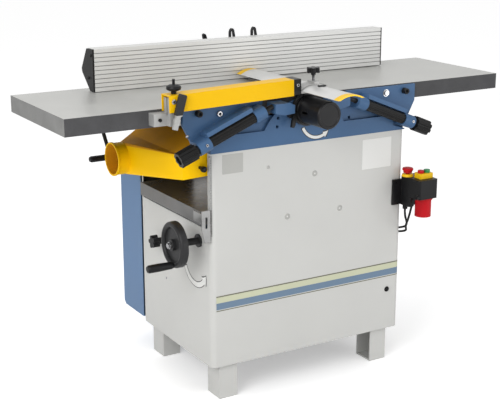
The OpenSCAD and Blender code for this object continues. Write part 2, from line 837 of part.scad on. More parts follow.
module infeed_hinge_slide() {
    x = moved(cutter_x, [hinge_near - 33.7, hinge_far + 33.7]);
    y0 = rear_outer + slide_gap;
    color("gray") {
        difference() {
            union() {
                block(x, [y0, y0 + 10], [cabinet_top + 14, hinge_z - 6]);
                for (c = [hinge_near, hinge_far], s = [-1, 1]) hinge_ear(cutter_x + c, s, y0 + 9);
            }
            for (c = [hinge_near, hinge_far]) translate([cutter_x + c, hinge_y, hinge_z])
                bar_along_x(pin_r + seat_fit, -barrel_w, barrel_w);
        }
        for (c = [hinge_near, hinge_far]) translate([cutter_x + c, hinge_y, hinge_z])
            bar_along_x(pin_r, -barrel_w / 2 - ear_t, barrel_w / 2 + ear_t);
    }
}

// Table locks

// Places its children on one side's lock rod, +X running outwards and down the rod
module on_lock_rod(side) {
    translate([cutter_x, lock_y, 0]) mirror([side < 0 ? 1 : 0, 0, 0])
        translate([lock_mid[0], 0, lock_mid[1]]) rotate([0, lock_tilt, 0]) children();
}

// Cast bracket: a plate on the table's front edge, two lugs round the rod and a rib over the grip
module lock_bracket(side) {
    reach = front - lock_plate_t - lock_y;
    c = cos(lock_tilt);
    s = sin(lock_tilt);
    function at(x, w) = lock_mid + [x * c + w * s, -x * s + w * c];
    lugs = [[lug_in, lug_in + lug_len], [-lug_in - lug_len + 3, -lug_in]];
    color("steelblue") difference() {
        union() {
            translate([cutter_x, 0, 0]) mirror([side < 0 ? 1 : 0, 0, 0])
                along_y(front - lock_plate_t, front) polygon([
                    [150, table_top - 4], [413, table_top - 4], [413, rim_bottom - 6],
                        at(lug_in + lug_len, lug_r),
                    at(lug_in + lug_len, -lug_r), at(lug_in, -lug_r), at(lug_in, grip_r + 3),
                    at(-lug_in, grip_r + 3), at(-lug_in, -lug_r), at(-lug_in - lug_len + 3, -lug_r)]);
            on_lock_rod(side) {
                for (x = lugs) {
                    bar_along_x(lug_r, x[0], x[1]);
                    block(x, [0, reach + 1], [-lug_r, lug_r]);
                }
                block([-lug_in - 1, lug_in + 1], [-8, reach + 1], [grip_r + 3, grip_r + 16]);
            }
        }
        on_lock_rod(side) bar_along_x(rod_r + run_fit, rod_in - 10, lug_in + lug_len + 10);
    }
}

module lock_grip(side) {
    color("black") on_lock_rod(side) along_x(-grip_len / 2, grip_len / 2) difference() {
        fluted(grip_r, 10, 2.6);
        circle(rod_r + run_fit);
    }
}

// Threaded rod with a fluted knob on its outer end
module lock_screw(side) {
    color("black") on_lock_rod(side) {
        bar_along_x(rod_r, rod_in, knob_start + 4);
        bar_along_x(14, lug_in + lug_len + 0.5, knob_start + 1);
        difference() {
            along_x(knob_start, knob_start + lock_knob_len) fluted(lock_knob_r, 8, 5.5);
            bar_along_x(lock_knob_r * 0.6, knob_start + lock_knob_len - 7, knob_start + lock_knob_len + 1);
        }
    }
}

module outfeed_lock_bracket() { lock_bracket(-1); }

module infeed_lock_bracket() { lock_bracket(1); }

module outfeed_lock_grip() { lock_grip(-1); }

module infeed_lock_grip() { lock_grip(1); }

module outfeed_lock_screw() { lock_screw(-1); }

module infeed_lock_screw() { lock_screw(1); }

// Thicknessing bed and its lift

module thicknesser_bed() {
    wall = 10;
    cells = 5;
    pitch = (bed_len - 2 * wall + 10) / cells;
    color("darkgray") {
        difference() {
            block([bed_x, bed_x + bed_len], [bed_y, bed_y + bed_w], [bed_bottom, bed_top]);
            for (i = [0:cells - 1], j = [0, 1]) {
                x0 = bed_x + wall + i * pitch;
                y0 = bed_y + wall + j * (bed_w / 2 - wall / 2 + 5);
                block([x0, x0 + pitch - 10], [y0, y0 + bed_w / 2 - wall - 10], [bed_bottom - 1,
                    bed_top - 14]);
            }
        }
        difference() {
            translate([column_x, column_y, column_low]) cylinder(r = column_r, h = bed_top - 10 - column_low);
            translate([column_x, column_y, column_low - 1]) cylinder(r = column_r - 8,
                h = bed_bottom - column_low);
        }
        translate([screw_x, wheel_y, bed_bottom - 6]) difference() {
            cylinder(r = screw_r + 12, h = bed_rim - 4);
            translate([0, 0, -1]) cylinder(r = screw_r + seat_fit, h = bed_rim - 8);
        }
    }
}

module lift_screw() {
    color("silver") translate([screw_x, wheel_y, screw_low]) cylinder(r = screw_r,
        h = bed_bottom + 20 - screw_low);
}

// Floor socket that guides the column, with a bracket that carries the gear nut
module lift_base() {
    floor_z = foot_h + sheet;
    color("gray") {
        difference() {
            union() {
                translate([column_x, column_y, floor_z]) cylinder(r = column_r + 13, h = base_top - floor_z);
                translate([column_x, column_y, floor_z]) cylinder(r = column_r + 40, h = 12);
                translate([0, lock_knob_y, lock_knob_z])
                    bar_along_x(16, column_x - column_r - 34, column_x - column_r - 4);
            }
            translate([column_x, column_y, floor_z - 1]) cylinder(r = column_r + run_fit, h = base_top);
            translate([0, lock_knob_y, lock_knob_z]) bar_along_x(lock_rod_r + run_fit, -half_len, column_x);
        }
        difference() {
            union() {
                block(about(screw_x, 36), [-half_depth + sheet, wheel_y + 34], [nut_z - 34, nut_z - 22]);
                block(about(screw_x, 36), [-half_depth + sheet, -half_depth + sheet + 10], [nut_z - 90,
                    nut_z + 20]);
            }
            translate([screw_x, wheel_y, nut_z - 40]) cylinder(r = screw_r + 6, h = 60);
        }
    }
}

// Bevel gear with a threaded bore round the lifting screw
module lift_gear_nut() {
    color("gray") translate([screw_x, wheel_y, nut_z]) difference() {
        rotate_extrude() polygon([[0, -21.7], [22, -21.7], [22, -10], [bevel_r, -6], [bevel_r, 0], [16,
            14], [0, 14]]);
        translate([0, 0, -30]) cylinder(r = screw_r + run_fit, h = 60);
    }
}

module handwheel_shaft() {
    gear_x = screw_x - bevel_r - 0.4;
    color("silver") translate([0, wheel_y, wheel_z]) {
        bar_along_x(shaft_r, wheel_x - 14, gear_x);
        translate([gear_x, 0, 0]) rotate([0, 90, 0]) rotate_extrude()
            polygon([[0, -14], [18, -14], [bevel_r, -4], [bevel_r, 0], [16, 14], [0, 14]]);
    }
}

module handwheel_bush() {
    flange_r = 20;
    color("black") translate([0, wheel_y, wheel_z]) difference() {
        union() {
            bar_along_x(bush_r, wheel_x + 21, -half_len + sheet);
            bar_along_x(flange_r, -half_len - 6, -half_len);
        }
        bar_along_x(shaft_r + run_fit, wheel_x, -half_len + sheet + 1);
    }
}

// Dished wheel: a round rim, a closed web and a deep hub
module handwheel() {
    rim_r = wheel_rim / 2;
    at = wheel_r - rim_r;
    color("dimgray") translate([wheel_x, wheel_y, wheel_z]) difference() {
        union() {
            rotate([0, 90, 0]) rotate_extrude($fn = 96) {
                translate([at, 0]) circle(rim_r, $fn = 32);
                translate([at - rim_r, 0]) square([wheel_rim, 15]);
            }
            rotate([0, 90, 0]) translate([0, 0, 2]) cylinder(r = at - rim_r + 4, h = 7);
            bar_along_x(hub_r, -9, 19);
        }
        bar_along_x(shaft_r + seat_fit, -20, 30);
        rotate([crank_angle, 0, 0]) translate([0, crank_r, 0]) bar_along_x(4 + seat_fit, -20, 20);
    }
}

module handwheel_grip() {
    color("black") translate([wheel_x, wheel_y, wheel_z]) rotate([crank_angle, 0, 0]) translate([0,
        crank_r, 0]) {
        rotate([0, -90, 0]) translate([0, 0, 10]) rotate_extrude() polygon([[0, 0], [9, 0], [11, 6],
            [12.5, crank_len * 0.6],
            [12, crank_len - 5], [9, crank_len], [0, crank_len]]);
        bar_along_x(4, -11, 8);
    }
}

module bed_lock_knob() {
    color("black") translate([-half_len, lock_knob_y, lock_knob_z]) {
        bar_along_x(lock_rod_r, -22, half_len + column_x - column_r - slide_gap);
        bar_along_x(11, -24, -0.5);
        along_x(-44, -22) {
            circle(14);
            for (i = [0:4]) rotate(i * 72) translate([14, 0]) circle(7, $fn = 32);
        }
    }
}

// Bracket on the bed's corner with a slotted plate that runs down the height scale
module height_pointer() {
    y = -half_depth + 2;
    tip_z = bed_top - 92;
    color("silver") {
        block([bed_x - 3, bed_x], [y + 1, bed_y + 36], [bed_top - 34, bed_top - 4]);
        along_y(y, y + 3) difference() {
            polygon([[bed_x - 6, bed_top + 6], [-half_len - 1.5, bed_top + 6], [-half_len - 1.5, tip_z],
                [bed_x + 3, tip_z], [bed_x - 6, bed_top - 50]]);
            translate([bed_x + 6, bed_top - 48]) square([7, 34]);
        }
    }
}

module feed_lever() {
    y = rear_outer + 11;
    z = cabinet_top + 37;
    arm_top = [-half_len - 146, z];
    arm_low = [-half_len - 113, z - 122];
    lean = atan2(arm_low[0] - arm_top[0], arm_top[1] - arm_low[1]);
    color("black") {
        translate([0, y, z]) bar_along_x(6, arm_top[0], -half_len + 40);
        translate([arm_top[0], y, z]) sphere(r = 8);
        translate([arm_low[0], y, arm_low[1]]) rotate([0, -lean, 0]) cylinder(r = 6,
            h = norm(arm_low - arm_top));
        translate([arm_low[0], y, arm_low[1]]) rotate([0, -90, 0]) {
            translate([0, 0, -8]) cylinder(r = 8, h = 10);
            rotate_extrude() polygon([[0, 0], [8, 0], [10, 6], [10, 66], [7, 72], [0, 72]]);
        }
    }
}

// Fence

module fence_guide() {
    x = about(bar_x, bar_w / 2);
    arm = [table_top - 19, table_top - 3];
    color("gray") {
        block(x, [bar_start, saddle_y + saddle_len + fence_travel + 6], [bar_z, bar_z + bar_t]);
        block(x, [bar_start, bar_start + 14], [arm[0], bar_z + 1]);
        block(x, [back, bar_start + 14], arm);
        block(x, [back, back + 12], [rim_bottom + 6, arm[1]]);
    }
}

module fence_carriage() {
    side = 14;
    x = [bar_x - bar_w / 2 - side, slide_lever_x + 16];
    beam_y = [fence_back + 28, fence_back + 52];
    beam_x = [x[0], tilt_stations[1] + 22];
    beam_z = [tilt_z, tilt_z + 22];
    color("dimgray") difference() {
        union() {
            block(x, [beam_y[0], saddle_y + saddle_len], [bar_z + 3, bar_z + bar_t + 12]);
            block(beam_x, beam_y, beam_z + [2, 0]);
            for (x0 = tilt_stations, s = [-1, 1]) along_x(x0 + (s > 0 ? 10.5 : -18.5),
                x0 + (s > 0 ? 18.5 : -10.5)) {
                translate([tilt_y, tilt_z]) circle(9);
                polygon([[tilt_y, tilt_z - 9], [beam_y[0] + 2, beam_z[0] + 2], [beam_y[0] + 2, beam_z[1] - 8],
                    [tilt_y, tilt_z + 9]]);
            }
        }
        block(about(bar_x, bar_w / 2 + slide_gap), [0, saddle_y + saddle_len + 1],
            [bar_z - 5, bar_z + bar_t + slide_gap]);
        for (x0 = tilt_stations) translate([x0, tilt_y, tilt_z]) bar_along_x(tilt_pin_r + run_fit, -30, 30);
        translate([slide_lever_x, saddle_y + 46, bar_z + bar_t]) cylinder(r = 5 + run_fit, h = 60);
    }
}

// Hollow profile with a grooved face and two hinge lugs on its back
module fence_profile() {
    pitch = fence_h / (groove_count + 1);
    mid = fence_h * 0.47;
    color("silver") {
        along_x(fence_x, fence_x + fence_len) translate([fence_y, fence_z]) difference() {
            square([fence_t, fence_h]);
            for (z = [[fence_wall, mid - fence_wall / 2], [mid + fence_wall / 2, fence_h - fence_wall]])
                translate([fence_wall, z[0]]) square([fence_t - 2 * fence_wall, z[1] - z[0]]);
            for (i = [1:groove_count]) translate([-1, i * pitch - 1.2]) square([2.4, 2.4]);
        }
        for (x0 = tilt_stations) {
            along_x(x0 - 10, x0 + 10) difference() {
                union() {
                    translate([tilt_y, tilt_z]) circle(8.5);
                    translate([fence_back, tilt_z - 8.5]) square([tilt_y - fence_back, 17]);
                }
                translate([tilt_y, tilt_z]) circle(tilt_pin_r + seat_fit);
            }
            translate([x0, tilt_y, tilt_z]) bar_along_x(tilt_pin_r, -18.5, 18.5);
            along_x(x0 - 13, x0 + 13) polygon([[fence_back, fence_z + 86], [fence_back + 22, fence_z + 100],
                [fence_back + 22, fence_z + 112], [fence_back, fence_z + 112]]);
        }
    }
}

module fence_end_plates() {
    plate = 5;
    color("black") for (x = [fence_x - plate, fence_x + fence_len]) along_x(x, x + plate) polygon([
        [fence_y + 1, fence_z + fence_h], [fence_back + 1, fence_z + fence_h - 2], [fence_back + 42,
            fence_z + 62],
        [fence_back + 38, fence_z + 50], [fence_y + 28, fence_z], [fence_y + 1, fence_z]]);
}

module fence_slide_lever() {
    z = bar_z + bar_t + 12;
    color("black") translate([slide_lever_x, saddle_y + 46, z]) {
        translate([0, 0, -8]) cylinder(r = 5, h = 20);
        translate([0, 0, 0.3]) cylinder(r = 10, h = 14);
        along_y(-5, 5) polygon([[-8, 6], [8, 6], [-28, 78], [-33, 92], [-39, 96], [-44, 92], [-42, 80],
            [-26, 46]]);
    }
}

// Hairpin clamp lever standing on the fence's back shelf
module fence_tilt_lever(x) {
    z = fence_z + 112.3;
    y = fence_back + 13;
    color("black") {
        translate([x, y, z]) cylinder(r = 8, h = 7);
        along_y(y - 5, y + 5) translate([x, z]) polygon([[-10, 4], [-10, 30], [-7, 38], [-2, 42], [2, 41],
            [6, 36],
            [12, 4], [6, 4], [2, 31], [0, 35], [-3, 35], [-5, 30], [-5, 7], [-2, 4]]);
    }
}

module fence_tilt_lever_left() { fence_tilt_lever(tilt_stations[0]); }

module fence_tilt_lever_right() { fence_tilt_lever(tilt_stations[1]); }

// Bridge guard

// Places its children in the sloping arm's frame, at the arm's pivot bolt
module on_arm() {
    translate([arm_pivot[0], 0, arm_pivot[1]]) rotate([0, -arm_tilt, 0]) children();
}

module guard_bracket() {
    color("silver") difference() {
        union() {
            block([arm_x - 36, post_x[0] + 1], [front - 34, front], [table_top - 42, table_top - 7]);
            block(post_x, post_y, [table_top - 42, arm_z + arm_h - 9]);
            block(post_x, [post_y[1] - 1, front], [table_top - 42, table_top - 7]);
        }
        translate([spindle_x, spindle_y, table_top - 30]) cylinder(r = spindle_r + run_fit, h = 90);
        block([post_x[0] - 1, post_x[0] + 6], post_y + [14, -14], [table_top - 12, arm_z + arm_h]);
        translate([post_x[0] + 14, 0, table_top - 24]) bar_along_y(5 + run_fit, post_y[0] - 1,
            post_y[0] + 16);
    }
}

// Channel open at the bottom, its left end cut square
module guard_arm() {
    top = arm_h - 32;
    x0 = arm_x - arm_pivot[0];
    color("gold") difference() {
        on_arm() difference() {
            block([x0, x0 + arm_len], [arm_y, arm_y + arm_d], [-32, top]);
            block([x0 - 1, x0 + arm_len + 1], [arm_y + arm_wall, arm_y + arm_d - arm_wall], [-33,
                top - arm_wall]);
        }
        translate([spindle_x, spindle_y, arm_z]) cylinder(r = spindle_r + 0.4, h = 90);
    }
}

// End block, shelf under the plate and bowed strap over it
module guard_carrier() {
    x0 = arm_x - arm_pivot[0] + arm_len;
    strap_y = [arm_y + 6, arm_y + arm_d - 6];
    gap = slide_gap + 0.1;
    color("silver") on_arm() difference() {
        union() {
            block([x0, x0 + end_block_w], [arm_y, arm_y + arm_d], [plate_foot - 8, arm_h - 32]);
            block([x0 + end_block_w - 1, plate_mid + plate_w / 2 + 5], strap_y, [plate_foot - 8,
                plate_foot - gap]);
            block([plate_mid + plate_w / 2 + 1, plate_mid + plate_w / 2 + 5], strap_y, [plate_foot - 8,
                plate_foot + 8]);
            along_y(strap_y[0], strap_y[1]) bow(plate_arc + 4, plate_arc + gap);
            along_y(strap_y[0], strap_y[1]) translate([plate_mid + guard_knob_dx - 9,
                plate_foot + plate_rise])
                square([18, 10]);
        }
        along_y(strap_y[0] - 1, strap_y[1] + 1) {
            translate([plate_mid, plate_foot + plate_rise - plate_arc]) intersection() {
                circle(plate_arc + gap, $fn = 192);
                translate([-plate_w / 2 - 0.5, plate_arc - plate_rise - gap]) square([plate_w + 1, 60]);
            }
        }
        translate([plate_mid + guard_knob_dx, spindle_y, plate_foot]) cylinder(r = 4 + run_fit, h = 60);
    }
}

// Bowed strip between two radii, over the plate's width and its edge clips
module bow(outer, inner) {
    translate([plate_mid, plate_foot + plate_rise - plate_arc]) intersection() {
        difference() {
            circle(outer, $fn = 192);
            circle(inner, $fn = 192);
        }
        translate([-plate_w / 2 - 5, plate_arc - plate_rise - 4]) square([plate_w + 10, 60]);
    }
}

module guard_plate() {
    color("whitesmoke") on_arm() along_y(plate_end - plate_len, plate_end)
        translate([plate_mid, plate_foot + plate_rise - plate_arc]) intersection() {
            difference() {
                circle(plate_arc, $fn = 192);
                circle(plate_arc - plate_t, $fn = 192);
            }
            translate([-plate_w / 2, plate_arc - plate_rise]) square([plate_w, 60]);
        }
}

module guard_plate_knob() {
    z = plate_foot + plate_rise + 1.2;
    color("black") on_arm() translate([plate_mid + guard_knob_dx, spindle_y, z]) {
        cylinder(r = 4, h = 34);
        translate([0, 0, 26]) cylinder(r = 7, h = 8);
        translate([0, 0, 33]) linear_extrude(15) {
            circle(14);
            for (i = [0:5]) rotate(i * 60) translate([15, 0]) circle(5.5, $fn = 32);
        }
    }
}

module guard_height_knob() {
    z = arm_z + arm_h + 1.5;
    color("black") translate([spindle_x, spindle_y, z]) {
        translate([0, 0, -76]) cylinder(r = spindle_r, h = 116);
        translate([0, 0, -7.8]) cylinder(r = 7, h = 2.6);
        translate([0, 0, -0.9]) cylinder(r = 8, h = 8.9);
        translate([0, 0, 7]) rotate_extrude() polygon([[0, 0], [12, 0], [20, 4], [21.5, 9], [20, 14], [12,
            18], [0, 18]]);
    }
}

module guard_clamp_lever() {
    x = post_x[0] + 14;
    z = table_top - 24;
    y1 = arm_y - 3;
    color("dimgray") {
        translate([x, 0, z]) {
            bar_along_y(5, y1 - 8, post_y[0] + 15);
            bar_along_y(9, y1 - 10, y1);
        }
        along_y(y1 - 10, y1) translate([x, z]) rotate(-16) {
            translate([-7, -26]) square([14, 40]);
            round_rect([-11.5, 11.5], [13, 74], 5);
        }
    }
}

// Switch

// Box with a deeper rear part, a mounting plate and the glands of the two leads
module switch_box() {
    x = moved(switch_x, [0, switch_w]);
    y = [switch_y - switch_d, switch_y];
    top = switch_z + switch_h;
    color("black") {
        difference() {
            union() {
                translate([0, 0, switch_z]) linear_extrude(switch_h) round_rect(x, y, 6);
                translate([0, 0, switch_low]) linear_extrude(top - switch_low - 1)
                    round_rect(x, [switch_y - 47, switch_y], 6);
                block([switch_x - 30, switch_x + switch_w], [switch_y - 1, -half_depth], [switch_low,
                    top - 13]);
                translate([lead_a[0][0], lead_a[0][1], switch_low - 12]) cylinder(r = 8, h = 13);
                translate([0, lead_b[0][1], lead_b[0][2]]) bar_along_x(6.5, switch_x - 8, switch_x + 1);
            }
            translate([stop_at[0], stop_at[1], top - 12]) cylinder(r = 6 + run_fit, h = 20);
            for (s = [-1, 1]) translate([bezel_at[0] + s * 12, bezel_at[1], top - 9])
                cylinder(r = button_r + 0.3, h = 20);
            for (z = [switch_low + 12, top - 24]) translate([switch_x - 16, 0, z])
                bar_along_y(3, switch_y - 2, -half_depth + 1);
            translate([lead_a[0][0], lead_a[0][1], switch_low - 13]) cylinder(r = lead_r + 0.5, h = 13);
            translate([bezel_at[0] + 4, bezel_at[1] + 2, switch_low - 1])
                cylinder(r = 30.3, h = switch_z - switch_low + 1);
            translate([0, lead_b[0][1], lead_b[0][2]]) bar_along_x(lead_r + 0.6, switch_x - 9, switch_x);
        }
    }
}

module switch_bezels() {
    z = switch_z + switch_h;
    color("gold") {
        translate([0, 0, z]) difference() {
            linear_extrude(bezel[2]) round_rect(about(bezel_at[0], bezel[0] / 2),
                about(bezel_at[1], bezel[1] / 2), 5);
            for (s = [-1, 1]) translate([bezel_at[0] + s * 12, bezel_at[1], -1])
                cylinder(r = button_r + 0.3, h = 20);
        }
        translate([stop_at[0], stop_at[1], z]) difference() {
            cylinder(r1 = 19.5, r2 = 17, h = 7.5);
            translate([0, 0, -1]) cylinder(r = 6.5, h = 20);
        }
    }
}

module emergency_stop() {
    z = switch_z + switch_h;
    color("red") translate([stop_at[0], stop_at[1], z]) {
        translate([0, 0, -7]) cylinder(r = 6, h = 20);
        translate([0, 0, 12]) rotate_extrude() polygon([[0, 0], [14, 0], [14.5, 5], [mushroom_r, 8],
            [mushroom_r, 13], [mushroom_r - 2, 15], [0, 16]]);
    }
}

// Round push button standing out of the bezel
module push_button(x) {
    z = switch_z + switch_h - 4;
    translate([x, bezel_at[1], z]) cylinder(r = button_r, h = bezel[2] + 13);
}

module start_button() {
    color("green") push_button(bezel_at[0] + 12);
}

module stop_button() {
    color("red") push_button(bezel_at[0] - 12);
}

module power_inlet() {
    color("red") translate([bezel_at[0] + 4, bezel_at[1] + 2, switch_z]) difference() {
        union() {
            translate([0, 0, -8]) cylinder(r = 30, h = 8);
            translate([0, 0, -65]) cylinder(r = 26, h = 60);
        }
        translate([0, 0, -66]) cylinder(r = 21, h = 36);
        for (a = [0:4]) rotate(a * 72) translate([13, 0, -40]) cylinder(r = 2.5, h = 12);
    }
}

// Tube swept along a list of points, a ring square to the path at every point
module swept_tube(path, r, sides) {
    last = len(path) - 1;
    function heading(i) = path[min(i + 1, last)] - path[max(i - 1, 0)];
    function unit(v) = v / norm(v);
    rings = [for (i = [0:last]) let (t = unit(heading(i)), a = unit(cross(t, [0.3, 1, 0.1])), b = cross(t, a))
        for (k = [0:sides - 1]) path[i] + r * (a * cos(360 * k / sides) + b * sin(360 * k / sides))];
    walls = [for (i = [0:last - 1], k = [0:sides - 1]) let (n = (k + 1) % sides)
        each [[i * sides + k, i * sides + n, (i + 1) * sides + k], [i * sides + n, (i + 1) * sides + n,
            (i + 1) * sides + k]]];
    caps = [[for (k = [sides - 1:-1:0]) k], [for (k = [0:sides - 1]) last * sides + k]];
    polyhedron(rings, concat(walls, caps));
}

module switch_leads() {
    color("black") {
        swept_tube(lead_a, lead_r, lead_sides);
        swept_tube(lead_b, lead_r, lead_sides);
    }
}

base_cabinet();
machine_feet();
front_cheek();
rear_cheek();
frame_bars();
rear_cover();
motor();
drive_belts();
bearing_blocks();
dust_hood();
chuck_guard();
chuck_guard_collar();
chuck_guard_lever();
handwheel_bush();
lift_base();
lift_gear_nut();
switch_box();
switch_bezels();
power_inlet();
switch_leads();
outfeed_table();
outfeed_lock_bracket();
outfeed_lock_grip();
outfeed_lock_screw();
infeed_hinge_slide();
infeed_table();
infeed_lock_bracket();
infeed_lock_grip();
infeed_lock_screw();
thicknesser_bed();
height_pointer();
lift_screw();
handwheel();
handwheel_shaft();
handwheel_grip();
bed_lock_knob();
cutterblock();
planer_knives();
cutterblock_pulley();
motor_pulley();
infeed_roller();
outfeed_roller();
feed_lever();
fence_guide();
fence_carriage();
fence_profile();
fence_end_plates();
fence_slide_lever();
fence_tilt_lever_left();
fence_tilt_lever_right();
guard_bracket();
guard_arm();
guard_carrier();
guard_height_knob();
guard_clamp_lever();
guard_plate();
guard_plate_knob();
emergency_stop();
start_button();
stop_button();
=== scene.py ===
"""Looks of a combination planer thicknesser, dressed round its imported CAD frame."""

import logging
from collections.abc import Callable, Sequence
from dataclasses import dataclass
from enum import Enum, IntEnum

import bmesh
import bpy
import numpy as np
from mathutils import Matrix, Vector


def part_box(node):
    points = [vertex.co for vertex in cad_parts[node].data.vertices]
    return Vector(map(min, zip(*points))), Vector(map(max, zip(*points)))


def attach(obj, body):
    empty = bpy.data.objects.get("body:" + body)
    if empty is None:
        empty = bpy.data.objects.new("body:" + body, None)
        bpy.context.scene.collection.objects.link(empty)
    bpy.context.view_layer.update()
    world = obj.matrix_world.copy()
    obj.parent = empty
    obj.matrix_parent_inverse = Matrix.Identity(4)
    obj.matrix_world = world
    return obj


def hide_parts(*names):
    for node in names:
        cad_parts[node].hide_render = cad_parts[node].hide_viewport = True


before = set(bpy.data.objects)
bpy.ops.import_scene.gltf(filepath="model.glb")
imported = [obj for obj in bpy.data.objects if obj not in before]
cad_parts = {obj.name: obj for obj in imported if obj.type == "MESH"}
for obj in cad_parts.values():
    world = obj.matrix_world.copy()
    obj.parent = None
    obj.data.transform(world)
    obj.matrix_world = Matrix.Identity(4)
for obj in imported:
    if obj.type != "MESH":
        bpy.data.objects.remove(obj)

log = logging.getLogger("planer_thicknesser")
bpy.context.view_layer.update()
MM = 0.001
PHOTO_WIDTH_PX = 500
FRAME_BODY = "machine_frame"

Colour = tuple[float, float, float]
Point = tuple[float, float, float]
Spot = tuple[float, float]
Outline = np.ndarray
FaceTest = Callable[[np.ndarray, np.ndarray], np.ndarray]


class Axis(IntEnum):
    """The frame's axes, as places in a point."""

    X = 0
    Y = 1
    Z = 2


def low_end(node: str, axis: Axis) -> float:
    """The lower end of a CAD node's box along an axis, in metres."""
    return float(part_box(node)[0][axis])


def high_end(node: str, axis: Axis) -> float:
    """The upper end of a CAD node's box along an axis, in metres."""
    return float(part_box(node)[1][axis])


def middle_of(node: str, axis: Axis) -> float:
    """The middle of a CAD node's box along an axis, in metres."""
    return (low_end(node, axis) + high_end(node, axis)) / 2


class Grain(Enum):
    """Kinds of surface texture; each has one shared node group."""

    PAINT = "smooth sprayed paint"
    TEXTURED = "textured paint"
    GROUND = "ground iron"
    CAST = "sand cast"
    BRUSHED = "drawn metal"
    TURNED = "turned metal"
    MOULDED = "moulded plastic"


@dataclass(frozen=True)
class Texture:
    """Numbers behind one grain: stretch of its fine noise, and sizes of fine and broad noise."""

    stretch: tuple[float, float, float]
    fine: float
    broad: float
    detail: float


TEXTURES: dict[Grain, Texture] = {
    Grain.PAINT: Texture((1, 1, 1), 420, 7, 2),
    Grain.TEXTURED: Texture((1, 1, 1), 900, 5, 4),
    Grain.GROUND: Texture((0.02, 1, 1), 1300, 9, 3),
    Grain.CAST: Texture((1, 1, 1), 520, 22, 6),
    Grain.BRUSHED: Texture((0.015, 1, 1), 1700, 14, 2),
    Grain.TURNED: Texture((1, 0.03, 1), 1500, 30, 2),
    Grain.MOULDED: Texture((1, 1, 1), 1500, 18, 3),
}
BROAD_DETAIL = 5
FINE_SHARE = 0.35
TONE_LOW, TONE_HIGH = 0.3, 0.7
RAMP_LOW, RAMP_HIGH = 0.32, 0.68
BRIGHT_SHARE = 0.6
ROUGHNESS_SPREAD = 0.07
LEAST_ROUGHNESS = 0.04
BUMP_DEPTH = 0.4 * MM
EDGE_SAMPLES = 6
EDGE_LEAN = 0.22
EDGE_STRENGTH = 0.55


class NodeKit:
    """Short hand for building node trees."""

    def __init__(self, tree: bpy.types.NodeTree) -> None:
        """Keeps the tree that nodes are added to."""
        self.tree = tree

    def add(self, kind: str, values: dict[str, object] | None = None, **settings: object) -> bpy.types.Node:
        """Adds a node.

        Args:
            kind: Blender's node type.
            values: fixed input values by the inputs' names.
            settings: attributes of the node.

        Returns:
            The new node.
        """
        node = self.tree.nodes.new(kind)
        for name, setting in settings.items():
            setattr(node, name, setting)
        self.fill(node, values or {})
        return node

    @staticmethod
    def fill(node: bpy.types.Node, values: dict[str, object]) -> None:
        """Sets fixed values on a node's inputs by their names."""
        for name, value in values.items():
            node.inputs[name].default_value = value

    def link(self, source: bpy.types.NodeSocket, target: bpy.types.NodeSocket) -> None:
        """Joins two sockets."""
        self.tree.links.new(source, target)

    def math(self, operation: str, a: object, b: object) -> bpy.types.NodeSocket:
        """Adds a math node.

        Args:
            operation: the node's operation.
            a: a socket or a number.
            b: a socket or a number.

        Returns:
            The result's socket.
        """
        node = self.add("ShaderNodeMath", operation=operation)
        for socket, value in zip(node.inputs, (a, b)):
            if isinstance(value, bpy.types.NodeSocket):
                self.link(value, socket)
            else:
                socket.default_value = float(value)
        return node.outputs[0]

    def mix(
        self, first: bpy.types.NodeSocket, second: Colour, mask: bpy.types.NodeSocket
    ) -> bpy.types.NodeSocket:
        """Mixes a socket's colour towards a fixed one by a mask.

        Args:
            first: the colour where the mask is 0.
            second: the colour where the mask is 1.
            mask: the mask's socket.

        Returns:
            The mixed colour's socket.
        """
        node = self.add("ShaderNodeMix", data_type="RGBA")
        sockets = [s for s in node.inputs if s.type == "RGBA"]
        sockets[1].default_value = (*second, 1)
        self.link(mask, node.inputs["Factor"])
        self.link(first, sockets[0])
        return [s for s in node.outputs if s.type == "RGBA"][0]


def grain_group(grain: Grain) -> bpy.types.NodeTree:
    """Shared group of one grain: fine stretched noise gives Height, and fine with broad noise gives Tone.

    Args:
        grain: the kind of surface.

    Returns:
        The node group, made on first use.
    """
    name = f"grain_{grain.name.lower()}"
    if name in bpy.data.node_groups:
        return bpy.data.node_groups[name]
    texture = TEXTURES[grain]
    tree = bpy.data.node_groups.new(name, "ShaderNodeTree")
    for socket in ("Height", "Tone"):
        tree.interface.new_socket(socket, in_out="OUTPUT", socket_type="NodeSocketFloat")
    kit = NodeKit(tree)
    place = kit.add("ShaderNodeTexCoord")
    mapping = kit.add("ShaderNodeMapping", {"Scale": texture.stretch})
    kit.link(place.outputs["Object"], mapping.inputs["Vector"])
    fine = kit.add("ShaderNodeTexNoise", {"Scale": texture.fine, "Detail": texture.detail})
    kit.link(mapping.outputs["Vector"], fine.inputs["Vector"])
    broad = kit.add("ShaderNodeTexNoise", {"Scale": texture.broad, "Detail": BROAD_DETAIL})
    kit.link(place.outputs["Object"], broad.inputs["Vector"])
    fine_tone = kit.math("MULTIPLY", fine.outputs["Fac"], FINE_SHARE)
    broad_tone = kit.math("MULTIPLY", broad.outputs["Fac"], 1 - FINE_SHARE)
    out = kit.add("NodeGroupOutput")
    kit.link(fine.outputs["Fac"], out.inputs["Height"])
    kit.link(kit.math("ADD", fine_tone, broad_tone), out.inputs["Tone"])
    return tree


